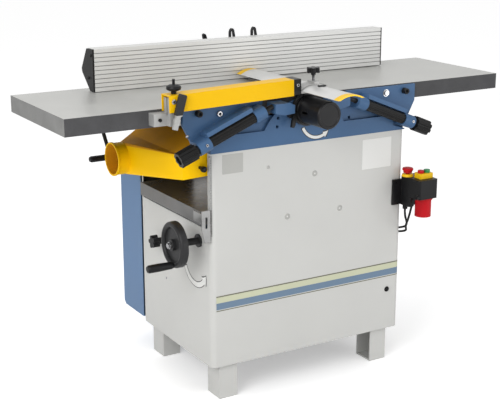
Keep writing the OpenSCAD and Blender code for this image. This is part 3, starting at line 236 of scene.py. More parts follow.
def edge_group() -> bpy.types.NodeTree:
    """Shared group that rounds edges: a bevelled Normal, and an Edge mask of how far it leans off the face.

    Returns:
        The node group, made on first use.
    """
    name = "rounded_edges"
    if name in bpy.data.node_groups:
        return bpy.data.node_groups[name]
    tree = bpy.data.node_groups.new(name, "ShaderNodeTree")
    tree.interface.new_socket("Radius", in_out="INPUT", socket_type="NodeSocketFloat")
    tree.interface.new_socket("Normal", in_out="OUTPUT", socket_type="NodeSocketVector")
    tree.interface.new_socket("Edge", in_out="OUTPUT", socket_type="NodeSocketFloat")
    kit = NodeKit(tree)
    inlet = kit.add("NodeGroupInput")
    out = kit.add("NodeGroupOutput")
    bevel = kit.add("ShaderNodeBevel", samples=EDGE_SAMPLES)
    kit.link(inlet.outputs["Radius"], bevel.inputs["Radius"])
    face = kit.add("ShaderNodeNewGeometry")
    dot = kit.add("ShaderNodeVectorMath", operation="DOT_PRODUCT")
    kit.link(bevel.outputs["Normal"], dot.inputs[0])
    kit.link(face.outputs["Normal"], dot.inputs[1])
    lean = kit.math("SUBTRACT", 1.0, dot.outputs["Value"])
    spread = kit.add("ShaderNodeMapRange", {"From Max": EDGE_LEAN})
    kit.link(lean, spread.inputs["Value"])
    kit.link(bevel.outputs["Normal"], out.inputs["Normal"])
    kit.link(spread.outputs["Result"], out.inputs["Edge"])
    return tree


@dataclass(frozen=True)
class Band:
    """A painted band: between two values along one object axis the finish takes another colour."""

    axis: Axis
    low: float
    high: float
    colour: Colour

    def mask(self, kit: NodeKit) -> bpy.types.NodeSocket:
        """1 between the band's two limits, 0 outside.

        Args:
            kit: the material's node kit.

        Returns:
            The mask's socket.
        """
        place = kit.add("ShaderNodeTexCoord")
        split = kit.add("ShaderNodeSeparateXYZ")
        kit.link(place.outputs["Object"], split.inputs["Vector"])
        value = split.outputs[self.axis]
        above = kit.math("GREATER_THAN", value, self.low)
        below = kit.math("LESS_THAN", value, self.high)
        return kit.math("MULTIPLY", above, below)


@dataclass(frozen=True)
class Finish:
    """One finish and its procedural material."""

    name: str
    colour: Colour
    grain: Grain
    roughness: float
    metallic: float = 0.0
    mottle: float = 0.10
    bump: float = 0.06
    edge_radius: float = 1.5 * MM
    edge_lift: float = 0.15
    specular: float = 0.3
    bands: tuple[Band, ...] = ()

    def material(self) -> bpy.types.Material:
        """Builds the material on first use.

        Returns:
            A Principled material whose colour, roughness and normal come from the grain and edge groups.
        """
        label = f"finish_{self.name}"
        if label in bpy.data.materials:
            return bpy.data.materials[label]
        made = bpy.data.materials.new(label)
        made.use_nodes = True
        kit = NodeKit(made.node_tree)
        shader = made.node_tree.nodes["Principled BSDF"]
        kit.fill(shader, {"Metallic": self.metallic, "Specular IOR Level": self.specular})
        grain = kit.add("ShaderNodeGroup", node_tree=grain_group(self.grain))
        edges = kit.add("ShaderNodeGroup", {"Radius": self.edge_radius}, node_tree=edge_group())
        colour = self._colour(kit, grain.outputs["Tone"], edges.outputs["Edge"])
        kit.link(colour, shader.inputs["Base Color"])
        limits = {
            "From Min": TONE_LOW,
            "From Max": TONE_HIGH,
            "To Min": max(LEAST_ROUGHNESS, self.roughness - ROUGHNESS_SPREAD),
            "To Max": min(1.0, self.roughness + ROUGHNESS_SPREAD),
        }
        rough = kit.add("ShaderNodeMapRange", limits)
        kit.link(grain.outputs["Tone"], rough.inputs["Value"])
        kit.link(rough.outputs["Result"], shader.inputs["Roughness"])
        bump = kit.add("ShaderNodeBump", {"Strength": self.bump, "Distance": BUMP_DEPTH})
        kit.link(grain.outputs["Height"], bump.inputs["Height"])
        kit.link(edges.outputs["Normal"], bump.inputs["Normal"])
        kit.link(bump.outputs["Normal"], shader.inputs["Normal"])
        return made

    def _colour(
        self, kit: NodeKit, tone: bpy.types.NodeSocket, edge: bpy.types.NodeSocket
    ) -> bpy.types.NodeSocket:
        """Mottled base colour, then the painted bands, then paler edges.

        Args:
            kit: the material's node kit.
            tone: mottling noise, 0 to 1.
            edge: mask of the edges, 0 to 1.

        Returns:
            The colour's socket.
        """
        base = np.array(self.colour)
        ramp = kit.add("ShaderNodeValToRGB")
        dark, bright = ramp.color_ramp.elements
        dark.position = RAMP_LOW
        bright.position = RAMP_HIGH
        dark.color = (*(base * (1 - self.mottle)), 1)
        bright.color = (*np.minimum(base * (1 + self.mottle * BRIGHT_SHARE), 1), 1)
        kit.link(tone, ramp.inputs["Fac"])
        colour = ramp.outputs["Color"]
        for band in self.bands:
            colour = kit.mix(colour, band.colour, band.mask(kit))
        pale = tuple(np.minimum(base + self.edge_lift, 1))
        return kit.mix(colour, pale, kit.math("MULTIPLY", edge, EDGE_STRENGTH))


YELLOW: Colour = (0.88, 0.54, 0.004)
STEEL: Colour = (0.36, 0.36, 0.355)
FLAT, DULL, SATIN, SOFT = 0.08, 0.15, 0.2, 0.18
PLATE_ENDS = (Band(Axis.Y, -0.480, -0.450, YELLOW), Band(Axis.Y, 0.066, 0.1, YELLOW))

CABINET_PAINT = Finish(
    "cabinet_paint", (0.585, 0.585, 0.565), Grain.TEXTURED, 0.5, mottle=0.03, bump=0.05, specular=SATIN
)
# Painted shade: a near-black finish for the faces inside the cabinet, standing for the shade that fills it.
CABINET_INSIDE_SHADE = Finish(
    "cabinet_inside", (0.03, 0.027, 0.022), Grain.TEXTURED, 0.7, mottle=0.15, specular=DULL
)
BLUE_PAINT = Finish(
    "blue_paint", (0.060, 0.130, 0.255), Grain.PAINT, 0.42, mottle=0.08, edge_lift=0.08, specular=SATIN
)
COVER_PAINT = Finish(
    "cover_paint", (0.13, 0.22, 0.375), Grain.TEXTURED, 0.45, mottle=0.05, edge_lift=0.08, specular=SATIN
)
HOOD_PAINT = Finish(
    "hood_paint", (0.98, 0.57, 0.001), Grain.PAINT, 0.4, mottle=0.03, edge_lift=0.02, specular=FLAT
)
HOOD_SHADE = Finish(
    "hood_shade", (0.80, 0.36, 0.012), Grain.PAINT, 0.55, mottle=0.25, edge_lift=0.02, specular=FLAT
)
ARM_PAINT = Finish(
    "arm_paint", (0.86, 0.50, 0.001), Grain.PAINT, 0.36, mottle=0.02, edge_lift=0.08, specular=0.1
)
TABLE_TOP = Finish("table_top", (0.50, 0.50, 0.48), Grain.GROUND, 0.42, 0.35, bump=0.10)
TABLE_EDGE = Finish(
    "table_edge", (0.075, 0.075, 0.078), Grain.CAST, 0.6, mottle=0.18, bump=0.18, specular=DULL
)
# Painted light: a lighter copy of the dark table edge for the outfeed table's left end, which faces the key
# light.
TABLE_END_LIT = Finish("table_end", (0.21, 0.21, 0.205), Grain.CAST, 0.5, mottle=0.18, bump=0.18, specular=DULL)
# Painted shade: the bed's ground top is far darker than the tables' for the shade it lies in under the
# tables.
BED_TOP_SHADED = Finish("bed_top", (0.15, 0.14, 0.125), Grain.GROUND, 0.3, 0.5, bump=0.10, edge_lift=0.10)
BED_EDGE = Finish(
    "bed_edge", (0.19, 0.19, 0.19), Grain.CAST, 0.55, 0.1, mottle=0.15, bump=0.14, specular=SATIN
)
GREY_IRON = Finish("grey_iron", (0.10, 0.10, 0.105), Grain.CAST, 0.6, 0.2, mottle=0.2, bump=0.2)
BARE_STEEL = Finish("bare_steel", STEEL, Grain.TURNED, 0.32, 0.8, mottle=0.12)
KNIFE_STEEL = Finish("knife_steel", (0.60, 0.60, 0.61), Grain.BRUSHED, 0.22, 0.9, mottle=0.08)
CHROME = Finish("chrome", (0.42, 0.42, 0.43), Grain.TURNED, 0.18, 0.9, mottle=0.06, edge_radius=0.5 * MM)
FENCE_ALLOY = Finish(
    "fence_alloy", (0.66, 0.66, 0.645), Grain.BRUSHED, 0.45, 0.3, 0.06, 0.05, 0.3 * MM, edge_lift=0.1
)
# Painted shade: a darker copy of the fence alloy for the shade inside the grooves.
FENCE_GROOVE_SHADE = Finish(
    "fence_groove", (0.30, 0.30, 0.295), Grain.BRUSHED, 0.5, 0.2, 0.06, 0.05, 0.3 * MM, edge_lift=0.05
)
PLATE_ALLOY = Finish(
    "plate_alloy", (0.64, 0.64, 0.63), Grain.BRUSHED, 0.38, 0.4, mottle=0.05, bands=PLATE_ENDS
)
BLOCK_ALLOY = Finish("block_alloy", (0.40, 0.40, 0.39), Grain.BRUSHED, 0.42, 0.4, mottle=0.08)
MOTOR_PAINT = Finish("motor_paint", (0.05, 0.055, 0.065), Grain.PAINT, 0.5, mottle=0.15)
BLACK_PLASTIC = Finish(
    "black_plastic", (0.011, 0.011, 0.012), Grain.MOULDED, 0.36, 0, 0.2, 0.08, 1 * MM, 0.03, SOFT
)
GRIP_PLASTIC = Finish(
    "grip_plastic", (0.010, 0.010, 0.010), Grain.MOULDED, 0.3, 0, 0.2, 0.05, 1 * MM, 0.04, SOFT
)
CHARCOAL = Finish(
    "charcoal_plastic", (0.028, 0.028, 0.029), Grain.MOULDED, 0.36, 0, 0.2, 0.12, 1 * MM, 0.03, SOFT
)
RUBBER = Finish("rubber", (0.014, 0.014, 0.014), Grain.MOULDED, 0.75, 0, 0.2, 0.08, 1 * MM, 0.02, DULL)
RED_PLASTIC = Finish(
    "red_plastic", (0.50, 0.010, 0.016), Grain.MOULDED, 0.36, mottle=0.06, edge_lift=0.03, specular=0.1
)
GREEN_PLASTIC = Finish("green_plastic", (0.03, 0.26, 0.09), Grain.MOULDED, 0.36, mottle=0.06, specular=SATIN)
YELLOW_PLASTIC = Finish("yellow_plastic", YELLOW, Grain.MOULDED, 0.4, mottle=0.05, specular=SATIN)
WHITE_PRINT = Finish("white_print", (0.74, 0.74, 0.72), Grain.PAINT, 0.5, mottle=0.02, specular=SATIN)
# Dark print for outlines and ticks; also painted shade inside screw sockets.
DARK_PRINT_AND_SHADE = Finish("dark_print", (0.03, 0.03, 0.03), Grain.PAINT, 0.5, mottle=0.05, specular=SATIN)
GREY_PRINT = Finish("grey_print", (0.17, 0.17, 0.12), Grain.PAINT, 0.5, mottle=0.04, specular=SATIN)
BLUE_PRINT = Finish("blue_print", (0.158, 0.232, 0.325), Grain.PAINT, 0.45, mottle=0.03, specular=SATIN)
PALE_PRINT = Finish("pale_print", (0.575, 0.590, 0.425), Grain.PAINT, 0.45, mottle=0.03, specular=SATIN)
PLATE_PRINT = Finish("plate_print", (0.42, 0.42, 0.40), Grain.BRUSHED, 0.45, 0.2, mottle=0.05)

# The height scale's screws face out of the cabinet's left front corner at this angle
SCALE_ANGLE = 206.0
SCALE_COS, SCALE_SIN = np.cos(np.radians(SCALE_ANGLE)), np.sin(np.radians(SCALE_ANGLE))


class Facing(Enum):
    """Ways a small piece can face: its own first, second and outward axes."""

    FRONT = ((1, 0, 0), (0, 0, 1), (0, -1, 0))
    LEFT = ((0, -1, 0), (0, 0, 1), (-1, 0, 0))
    BACK = ((-1, 0, 0), (0, 0, 1), (0, 1, 0))
    UP = ((1, 0, 0), (0, 1, 0), (0, 0, 1))
    CORNER = ((-SCALE_SIN, SCALE_COS, 0), (0, 0, 1), (SCALE_COS, SCALE_SIN, 0))

    def place(self, local: np.ndarray, origin: Sequence[float]) -> np.ndarray:
        """Moves local points into the row frame.

        Args:
            local: points as an array whose last axis is first, second, outward.
            origin: where the piece's own origin goes, in metres.

        Returns:
            The points in the row frame.
        """
        return local @ np.array(self.value, float) + np.array(origin, float)


class Outlines:
    """Closed outlines as arrays of points, each a formula of one angle or one length."""

    @staticmethod
    def circle(radius: float, count: int = 48) -> Outline:
        """Points at equal angles on a circle."""
        angle = np.linspace(0, 2 * np.pi, count, endpoint=False)
        return radius * np.stack([np.cos(angle), np.sin(angle)], 1)

    @staticmethod
    def hexagon(across: float, count: int = 48) -> Outline:
        """A circle whose radius grows by 1 / cos of the angle to the nearest flat's middle.

        Args:
            across: distance between two opposite flats.
            count: number of points.

        Returns:
            The outline, points by 2.
        """
        angle = np.linspace(0, 2 * np.pi, count, endpoint=False)
        off = (angle + np.pi / 6) % (np.pi / 3) - np.pi / 6
        radius = across / 2 / np.cos(off)
        return radius[:, None] * np.stack([np.cos(angle), np.sin(angle)], 1)

    @staticmethod
    def round_rect(width: float, height: float, corner: float, count: int = 12) -> Outline:
        """Four quarter circles of the corner radius round the rectangle's inner corners.

        Args:
            width: size along the first axis.
            height: size along the second axis.
            corner: radius of the corners.
            count: number of points on each corner.

        Returns:
            The outline, points by 2.
        """
        turn = np.linspace(0, np.pi / 2, count)
        starts = np.arange(4)[:, None] * np.pi / 2
        angle = (starts + turn[None, :]).ravel()
        signs = np.array([(1, 1), (-1, 1), (-1, -1), (1, -1)], float).repeat(count, 0)
        inner = np.array([width / 2 - corner, height / 2 - corner])
        return signs * inner + corner * np.stack([np.cos(angle), np.sin(angle)], 1)


class Surfaces:
    """Mesh makers: every surface is a grid of points worked out as one array."""

    MERGE = 1e-6

    @staticmethod
    def grid(name: str, points: np.ndarray, finish: Finish, wrap: bool) -> bpy.types.Object:
        """Puts a grid of points into a mesh of quads, and merges points that fall together.

        Args:
            name: the piece's name.
            points: array of rows by columns by 3, in metres.
            finish: the piece's finish.
            wrap: True where the last column joins the first; an open strip faces columns cross rows.

        Returns:
            The new object, linked to the scene.
        """
        rows, columns = points.shape[:2]
        index = np.arange(rows * columns).reshape(rows, columns)
        near = np.concatenate([index, index[:, :1]], 1) if wrap else index
        quads = np.stack([near[:-1, :-1], near[:-1, 1:], near[1:, 1:], near[1:, :-1]], -1).reshape(-1, 4)
        return Surfaces.faces(name, points.reshape(-1, 3), quads, finish, wrap)

    @staticmethod
    def faces(
        name: str, points: np.ndarray, quads: np.ndarray, finish: Finish, closed: bool = False
    ) -> bpy.types.Object:
        """Makes an object from points and quads.

        Args:
            name: the piece's name.
            points: array of points by 3.
            quads: array of faces by 4 point numbers.
            finish: the piece's finish.
            closed: True where the faces are turned to point out of a body.

        Returns:
            The new object.
        """
        mesh = bpy.data.meshes.new(name)
        mesh.from_pydata(points.tolist(), [], quads.tolist())
        work = bmesh.new()
        work.from_mesh(mesh)
        bmesh.ops.remove_doubles(work, verts=work.verts, dist=Surfaces.MERGE)
        bmesh.ops.dissolve_degenerate(work, edges=work.edges, dist=Surfaces.MERGE)
        if closed:
            bmesh.ops.recalc_face_normals(work, faces=work.faces)
        work.to_mesh(mesh)
        work.free()
        mesh.materials.append(finish.material())
        made = bpy.data.objects.new(name, mesh)
        bpy.context.scene.collection.objects.link(made)
        return made

    @staticmethod
    def boss(outline: Outline, rows: Sequence[Spot]) -> np.ndarray:
        """Stacks copies of an outline: each row is a scale of the outline and a height.

        Args:
            outline: closed outline, points by 2.
            rows: pairs of scale and height, from one end of the profile to the other.

        Returns:
            Grid of rows by columns by 3.
        """
        scale, height = np.array(rows, float).T
        flat = scale[:, None, None] * outline[None]
        lift = np.broadcast_to(height[:, None, None], (*flat.shape[:2], 1))
        return np.concatenate([flat, lift], 2)

    @staticmethod
    def ribbon(centre: np.ndarray, side: np.ndarray, half: np.ndarray, lift: float) -> np.ndarray:
        """A flat strip: points at the centre line plus and minus a half width along the side direction.

        Args:
            centre: centre line, points by 2.
            side: unit side direction at each point, points by 2.
            half: half width at each point.
            lift: height over the face that carries it.

        Returns:
            Grid of points by 5 by 3.
        """
        across = np.linspace(-1, 1, 5)
        flat = centre[:, None] + across[None, :, None] * (half[:, None] * side)[:, None]
        return np.concatenate([flat, np.full((*flat.shape[:2], 1), lift)], 2)


class Dresser:
    """Gives CAD nodes their finishes and new pieces their bodies."""

    @staticmethod
    def node(name: str, finish: Finish) -> bpy.types.Object:
        """Gives a CAD node one finish.

        Args:
            name: the node's name.
            finish: its finish.

        Returns:
            The node's object.
        """
        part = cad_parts[name]
        part.data.materials.clear()
        part.data.materials.append(finish.material())
        log.info("dressed %s with %s", name, finish.name)
        return part

    @staticmethod
    def nodes(finish: Finish, *names: str) -> None:
        """Gives several CAD nodes the same finish."""
        for name in names:
            Dresser.node(name, finish)

    @staticmethod
    def split(name: str, finish: Finish, other: Finish, test: FaceTest) -> None:
        """Gives some faces of a CAD node a second finish.

        Args:
            name: the node's name.
            finish: the main finish.
            other: the finish of the faces that pass the test.
            test: takes face middles and face normals, and gives True where the second finish goes.
        """
        Dresser.recolour(Dresser.node(name, finish), other, test)

    @staticmethod
    def recolour(part: bpy.types.Object, finish: Finish, test: FaceTest) -> None:
        """Gives the faces of an object that pass a test one more finish.

        Args:
            part: the object.
            finish: the finish of the faces that pass.
            test: takes face middles and face normals, and gives True where the finish goes.
        """
        faces = part.data.polygons
        middle, normal = np.empty(len(faces) * 3), np.empty(len(faces) * 3)
        faces.foreach_get("center", middle)
        faces.foreach_get("normal", normal)
        index = np.empty(len(faces), np.int32)
        faces.foreach_get("material_index", index)
        part.data.materials.append(finish.material())
        index[test(middle.reshape(-1, 3), normal.reshape(-1, 3))] = len(part.data.materials) - 1
        faces.foreach_set("material_index", index)
        part.data.update()

    @staticmethod
    def piece(made: bpy.types.Object, body: str, smooth: float = 40) -> bpy.types.Object:
        """Smooths a new piece below an edge angle and lets it ride on a body.

        Args:
            made: the new object.
            body: the CAD body that carries it.
            smooth: edges sharper than this many degrees stay sharp.

        Returns:
            The same object.
        """
        made.data.set_sharp_from_angle(angle=np.radians(smooth))
        made.data.polygons.foreach_set("use_smooth", np.ones(len(made.data.polygons), bool))
        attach(made, body)
        log.info("built %s on %s", made.name, body)
        return made


class Head(Enum):
    """Kinds of screw head."""

    SOCKET = "cap screw with a hexagon socket"
    HEX = "hexagon head on a washer"
    DOME = "low dome"


@dataclass(frozen=True)
class HeadProfile:
    """A head's profile: scales and heights in shares of its radius, round rows and then rows with flats."""

    rounds: tuple[Spot, ...]
    flats: tuple[Spot, ...] = ()


HEADS: dict[Head, HeadProfile] = {
    Head.SOCKET: HeadProfile(
        ((1, 0), (1, 0.7), (0.9, 0.85), (0.62, 0.85)),
        ((0.6, 0.85), (0.58, 0.35), (0, 0.35)),
    ),
    Head.HEX: HeadProfile(
        ((1.35, 0), (1.35, 0.15), (1.1, 0.15)),
        ((1.1, 0.16), (1.1, 0.7), (1.0, 0.8), (0, 0.8)),
    ),
    Head.DOME: HeadProfile(((1, 0), (0.95, 0.18), (0.8, 0.33), (0.5, 0.45), (0.2, 0.5), (0, 0.5))),
}
FLATS_ACROSS = 1.7
SOCKET_REACH = 0.53


@dataclass(frozen=True)
class Screw:
    """A screw head standing on a face."""

    name: str
    at: Point
    radius: float
    head: Head = Head.SOCKET
    facing: Facing = Facing.FRONT
    finish: Finish = CHROME
    rise: float = 1.0

    def build(self, body: str) -> bpy.types.Object:
        """Stacks circles and hexagons of the head's profile into one grid; rise stretches its height.

        Args:
            body: the CAD body that carries it.

        Returns:
            The new piece.
        """
        profile = HEADS[self.head]
        grid = Surfaces.boss(Outlines.circle(1.0), profile.rounds)
        if profile.flats:
            flats = Surfaces.boss(Outlines.hexagon(FLATS_ACROSS), profile.flats)
            grid = np.concatenate([grid, flats])
        grid = self.radius * grid * np.array([1, 1, self.rise])
        made = Surfaces.grid(self.name, self.facing.place(grid, self.at), self.finish, wrap=True)
        # The socket's inside gets painted shade.
        if self.head is Head.SOCKET:
            Dresser.recolour(made, DARK_PRINT_AND_SHADE, self._in_socket)
        return Dresser.piece(made, body)

    def _in_socket(self, middle: np.ndarray, normal: np.ndarray) -> np.ndarray:
        """True for faces nearer to the head's axis than the socket's flats."""
        away = (middle - np.array(self.at)) @ np.array(self.facing.value, float).T
        return np.hypot(away[:, 0], away[:, 1]) < SOCKET_REACH * self.radius


@dataclass(frozen=True)
class Plate:
    """A thin rounded plate on a face."""

    name: str
    middle: Point
    width: float
    height: float
    finish: Finish
    facing: Facing = Facing.FRONT
    corner: float = 1.0 * MM
    thickness: float = 0.4 * MM

    def build(self, body: str) -> bpy.types.Object:
        """Stacks the rounded outline at the face and at the top, and closes the top in the middle.

        Args:
            body: the CAD body that carries it.

        Returns:
            The new piece.
        """
        outline = Outlines.round_rect(self.width, self.height, self.corner)
        rows = [(1, 0), (1, self.thickness), (0, self.thickness)]
        grid = self.facing.place(Surfaces.boss(outline, rows), self.middle)
        return Dresser.piece(Surfaces.grid(self.name, grid, self.finish, wrap=True), body)


@dataclass(frozen=True)
class ArcArrow:
    """A turning arrow: a strip along an arc between two angles, in degrees, with a triangular head."""

    name: str
    centre: Point
    radius: float
    start: float
    end: float
    half: float
    facing: Facing = Facing.FRONT
    head_share: float = 0.18
    head_spread: float = 2.1
    outline: float = 2.2 * MM
    outline_spread: float = 1.4
    outline_reach: float = 1.8
    blunt: float = 0.01
    lift: float = 0.3 * MM

    def build(self, body: str) -> None:
        """Lays a pale arrow over a dark one that is wider by the outline all round."""
        self._strip(f"{self.name}_outline", DARK_PRINT_AND_SHADE, self.outline, self.lift, body)
        self._strip(self.name, WHITE_PRINT, 0, 2 * self.lift, body)

    def _strip(self, name: str, finish: Finish, margin: float, lift: float, body: str) -> None:
        """Half width is steady along the arc, doubles at the head and then falls to nothing at the tip.

        Args:
            name: the piece's name.
            finish: its finish.
            margin: how much wider and longer it is than the arrow.
            lift: its height over the face.
            body: the CAD body that carries it.
        """
        neck = 1 - self.head_share
        along = np.concatenate([np.linspace(0, neck, 30), np.linspace(neck + 0.001, 1, 14)])
        extra = np.degrees(margin / self.radius)
        first, last = self.start - extra, self.end + self.outline_reach * extra
        angle = np.radians(first + along * (last - first))
        outward = np.stack([np.cos(angle), np.sin(angle)], 1)
        taper = np.clip((1 - along) / self.head_share, self.blunt, 1)
        head = taper * (self.head_spread * self.half + self.outline_spread * margin)
        half = np.where(along <= neck, self.half + margin, head)
        grid = self.facing.place(Surfaces.ribbon(self.radius * outward, outward, half, lift), self.centre)
        Dresser.piece(Surfaces.grid(name, grid, finish, wrap=False), body)


@dataclass(frozen=True)
class WallBand:
    """A thin band on upright walls, between two heights along a level path."""

    name: str
    path: np.ndarray
    low: float
    high: float
    finish: Finish

    def build(self, body: str) -> bpy.types.Object:
        """Repeats the level path at three heights between the band's two edges.

        Args:
            body: the CAD body that carries it.

        Returns:
            The new piece.
        """
        heights = np.linspace(self.low, self.high, 3)
        flat = np.broadcast_to(self.path[None], (len(heights), *self.path.shape))
        lift = np.broadcast_to(heights[:, None, None], (*flat.shape[:2], 1))
        grid = np.concatenate([flat, lift], 2)
        return Dresser.piece(Surfaces.grid(self.name, grid, self.finish, wrap=False), body)


class SubAssembly:
    """What every sub-assembly does: it dresses its CAD nodes and then builds its own small pieces."""

    def dress(self) -> None:
        """Gives the sub-assembly's CAD nodes their finishes."""
        raise NotImplementedError

    def build(self) -> None:
        """Adds the sub-assembly's own pieces; one that has none keeps this."""


@dataclass
class Cabinet(SubAssembly):
    """Sheet cabinet, its feet, and what is fixed or painted on them; a spot on the front is x and z."""

    left_x: float = low_end("base_cabinet", Axis.X)
    right_x: float = high_end("base_cabinet", Axis.X)
    front_y: float = low_end("base_cabinet", Axis.Y)
    corner: float = 18 * MM
    wall: float = 2.5 * MM
    look_ahead: float = 6 * MM
    print_lift: float = 0.3 * MM
    plate_at: Spot = (-0.273, 0.7425)
    plate_size: Spot = (0.070, 0.058)
    panel_at: Spot = (0.25, 0.712)
    panel_size: Spot = (0.112, 0.096)
    washers_at: tuple[Spot, ...] = ((0.0159, 0.6761), (-0.0821, 0.5535), (0.1117, 0.5526))
    washer_inner: float = 2.5 * MM
    washer_outer: float = 9.5 * MM
    washer_height: float = 2.2 * MM
    rivet_at: Spot = (-0.1505, 0.7158)
    cap_at: Spot = (0.307, 0.248)
    end_screw_at: Point = (left_x, 0.062, 0.312)
    arrow: ArcArrow = ArcArrow(
        "height_arrow",
        (left_x, -0.1388, 0.4252),
        radius=71.2 * MM,
        start=205,
        end=337,
        half=8 * MM,
        facing=Facing.LEFT,
        head_share=0.17,
    )
    stripe_x: float = -0.331
    stripe_end: float = -8
    scale_low: float = 0.528
    scale_high: float = 0.772
    scale_sides: Spot = (184, 229)
    scale_lift: float = 0.4 * MM
    tick_starts: Spot = (198, 211)
    tick_end: float = 227
    tick_lift: float = 0.9 * MM
    tick_gap: float = 5 * MM
    tick_half: float = 0.5 * MM

    def dress(self) -> None:
        """Paints the cabinet and the feet; the faces that look into the cabinet get painted shade."""
        low, high = (np.array(corner)[:2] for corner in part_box("base_cabinet"))

        def looks_inside(middle: np.ndarray, normal: np.ndarray) -> np.ndarray:
            """True where a point a little in front of the face lies within the walls."""
            ahead = (middle + self.look_ahead * normal)[:, :2]
            return ((ahead > low + self.wall) & (ahead < high - self.wall)).all(1)

        # Faces that look into the cabinet get painted shade.
        Dresser.split("base_cabinet", CABINET_PAINT, CABINET_INSIDE_SHADE, looks_inside)
        Dresser.node("machine_feet", CABINET_PAINT)

    def build(self) -> None:
        """Adds stripes, the bare plates, screws, the height scale and the height arrow."""
        self._stripes()
        at = self._on_front(self.plate_at)
        Plate("bare_plate", at, *self.plate_size, PLATE_PRINT, corner=2 * MM).build(FRAME_BODY)
        at = self._on_front(self.panel_at)
        Plate("print_panel", at, *self.panel_size, WHITE_PRINT, corner=3 * MM).build(FRAME_BODY)
        for number, spot in enumerate(self.washers_at):
            self._washer(f"dimple_{number}", spot)
            self._dome(f"panel_screw_{number}", spot, 3 * MM, WHITE_PRINT)
        self._dome("panel_screw_3", self.rivet_at, 5 * MM, PLATE_PRINT)
        self._dome("panel_cap", self.cap_at, 9 * MM, RUBBER)
        Screw("end_screw", self.end_screw_at, 4 * MM, Head.DOME, Facing.LEFT).build(FRAME_BODY)
        self._scale()
        self.arrow.build(FRAME_BODY)

    def _on_front(self, spot: Spot) -> Point:
        """The point of a spot on the front face."""
        return (spot[0], self.front_y, spot[1])

    def _dome(self, name: str, spot: Spot, radius: float, finish: Finish) -> None:
        """A low round head on the front face."""
        Screw(name, self._on_front(spot), radius, Head.DOME, finish=finish).build(FRAME_BODY)

    def _stripes(self) -> None:
        """The bands along the front and round its right corner: a straight line, then the corner's arc."""
        arc = np.radians(np.linspace(-90, self.stripe_end, 12))
        reach = self.corner + self.print_lift
        centre = np.array([self.right_x - self.corner, self.front_y + self.corner])
        bend = centre + reach * np.stack([np.cos(arc), np.sin(arc)], 1)
        start = np.array([[self.stripe_x, self.front_y - self.print_lift]])
        path = np.concatenate([start, bend])
        bands = (
            ("stripe_top_line", 0.3370, 0.3405, GREY_PRINT),
            ("stripe_pale_band", 0.3185, 0.3365, PALE_PRINT),
            ("stripe_blue_band", 0.2975, 0.3180, BLUE_PRINT),
            ("stripe_low_line", 0.2920, 0.2948, GREY_PRINT),
        )
        for name, low, high, finish in bands:
            WallBand(name, path, low, high, finish).build(FRAME_BODY)

    def _washer(self, name: str, spot: Spot) -> None:
        """A cup washer round a screw: a low round ridge, its height a half wave of the radius.

        Args:
            name: the piece's name.
            spot: its place on the front face.
        """
        radius = np.linspace(self.washer_inner, self.washer_outer, 13)
        height = self.washer_height * np.sin(np.linspace(0, np.pi, 13))
        grid = Surfaces.boss(Outlines.circle(1.0), np.stack([radius, height], 1))
        placed = Facing.FRONT.place(grid, self._on_front(spot))
        Dresser.piece(Surfaces.grid(name, placed, PLATE_PRINT, wrap=True), FRAME_BODY)

    def _on_corner(self, degrees: np.ndarray, lift: float) -> np.ndarray:
        """Points over the left front corner's arc: its centre plus the lifted radius at each angle.

        Args:
            degrees: angles in degrees.
            lift: height over the corner's face.

        Returns:
            Array of x and y, with the shape of the angles before its last axis.
        """
        angle = np.radians(degrees)
        centre = np.array([self.left_x + self.corner, self.front_y + self.corner])
        return centre + (self.corner + lift) * np.stack([np.cos(angle), np.sin(angle)], -1)

    def _scale(self) -> None:
        """The height scale: a strip bent round the left front corner, with ticks, long at every fifth."""
        low, high = self.scale_low, self.scale_high
        path = self._on_corner(np.linspace(*self.scale_sides, 9), self.scale_lift)
        WallBand("height_scale", path, low, high, BLOCK_ALLOY).build(FRAME_BODY)
        z = np.arange(low + 12 * MM, high - 10 * MM, self.tick_gap)
        start = np.where(np.arange(len(z)) % 5 == 0, *self.tick_starts)
        sides = np.stack([start, np.full_like(start, self.tick_end)], 1)[:, [0, 1, 1, 0]]
        lift = (z[:, None] + self.tick_half * np.array([-1, -1, 1, 1]))[:, :, None]
        points = np.concatenate([self._on_corner(sides, self.tick_lift), lift], 2).reshape(-1, 3)
        ticks = np.arange(len(points)).reshape(-1, 4)
        Dresser.piece(Surfaces.faces("height_ticks", points, ticks, DARK_PRINT_AND_SHADE), FRAME_BODY)
        at = self._on_corner(np.array(SCALE_ANGLE), self.scale_lift)
        for name, height in (("scale_screw_low", low + 5 * MM), ("scale_screw_high", high - 5 * MM)):
            Screw(name, (*at, height), 3 * MM, Head.DOME, Facing.CORNER).build(FRAME_BODY)


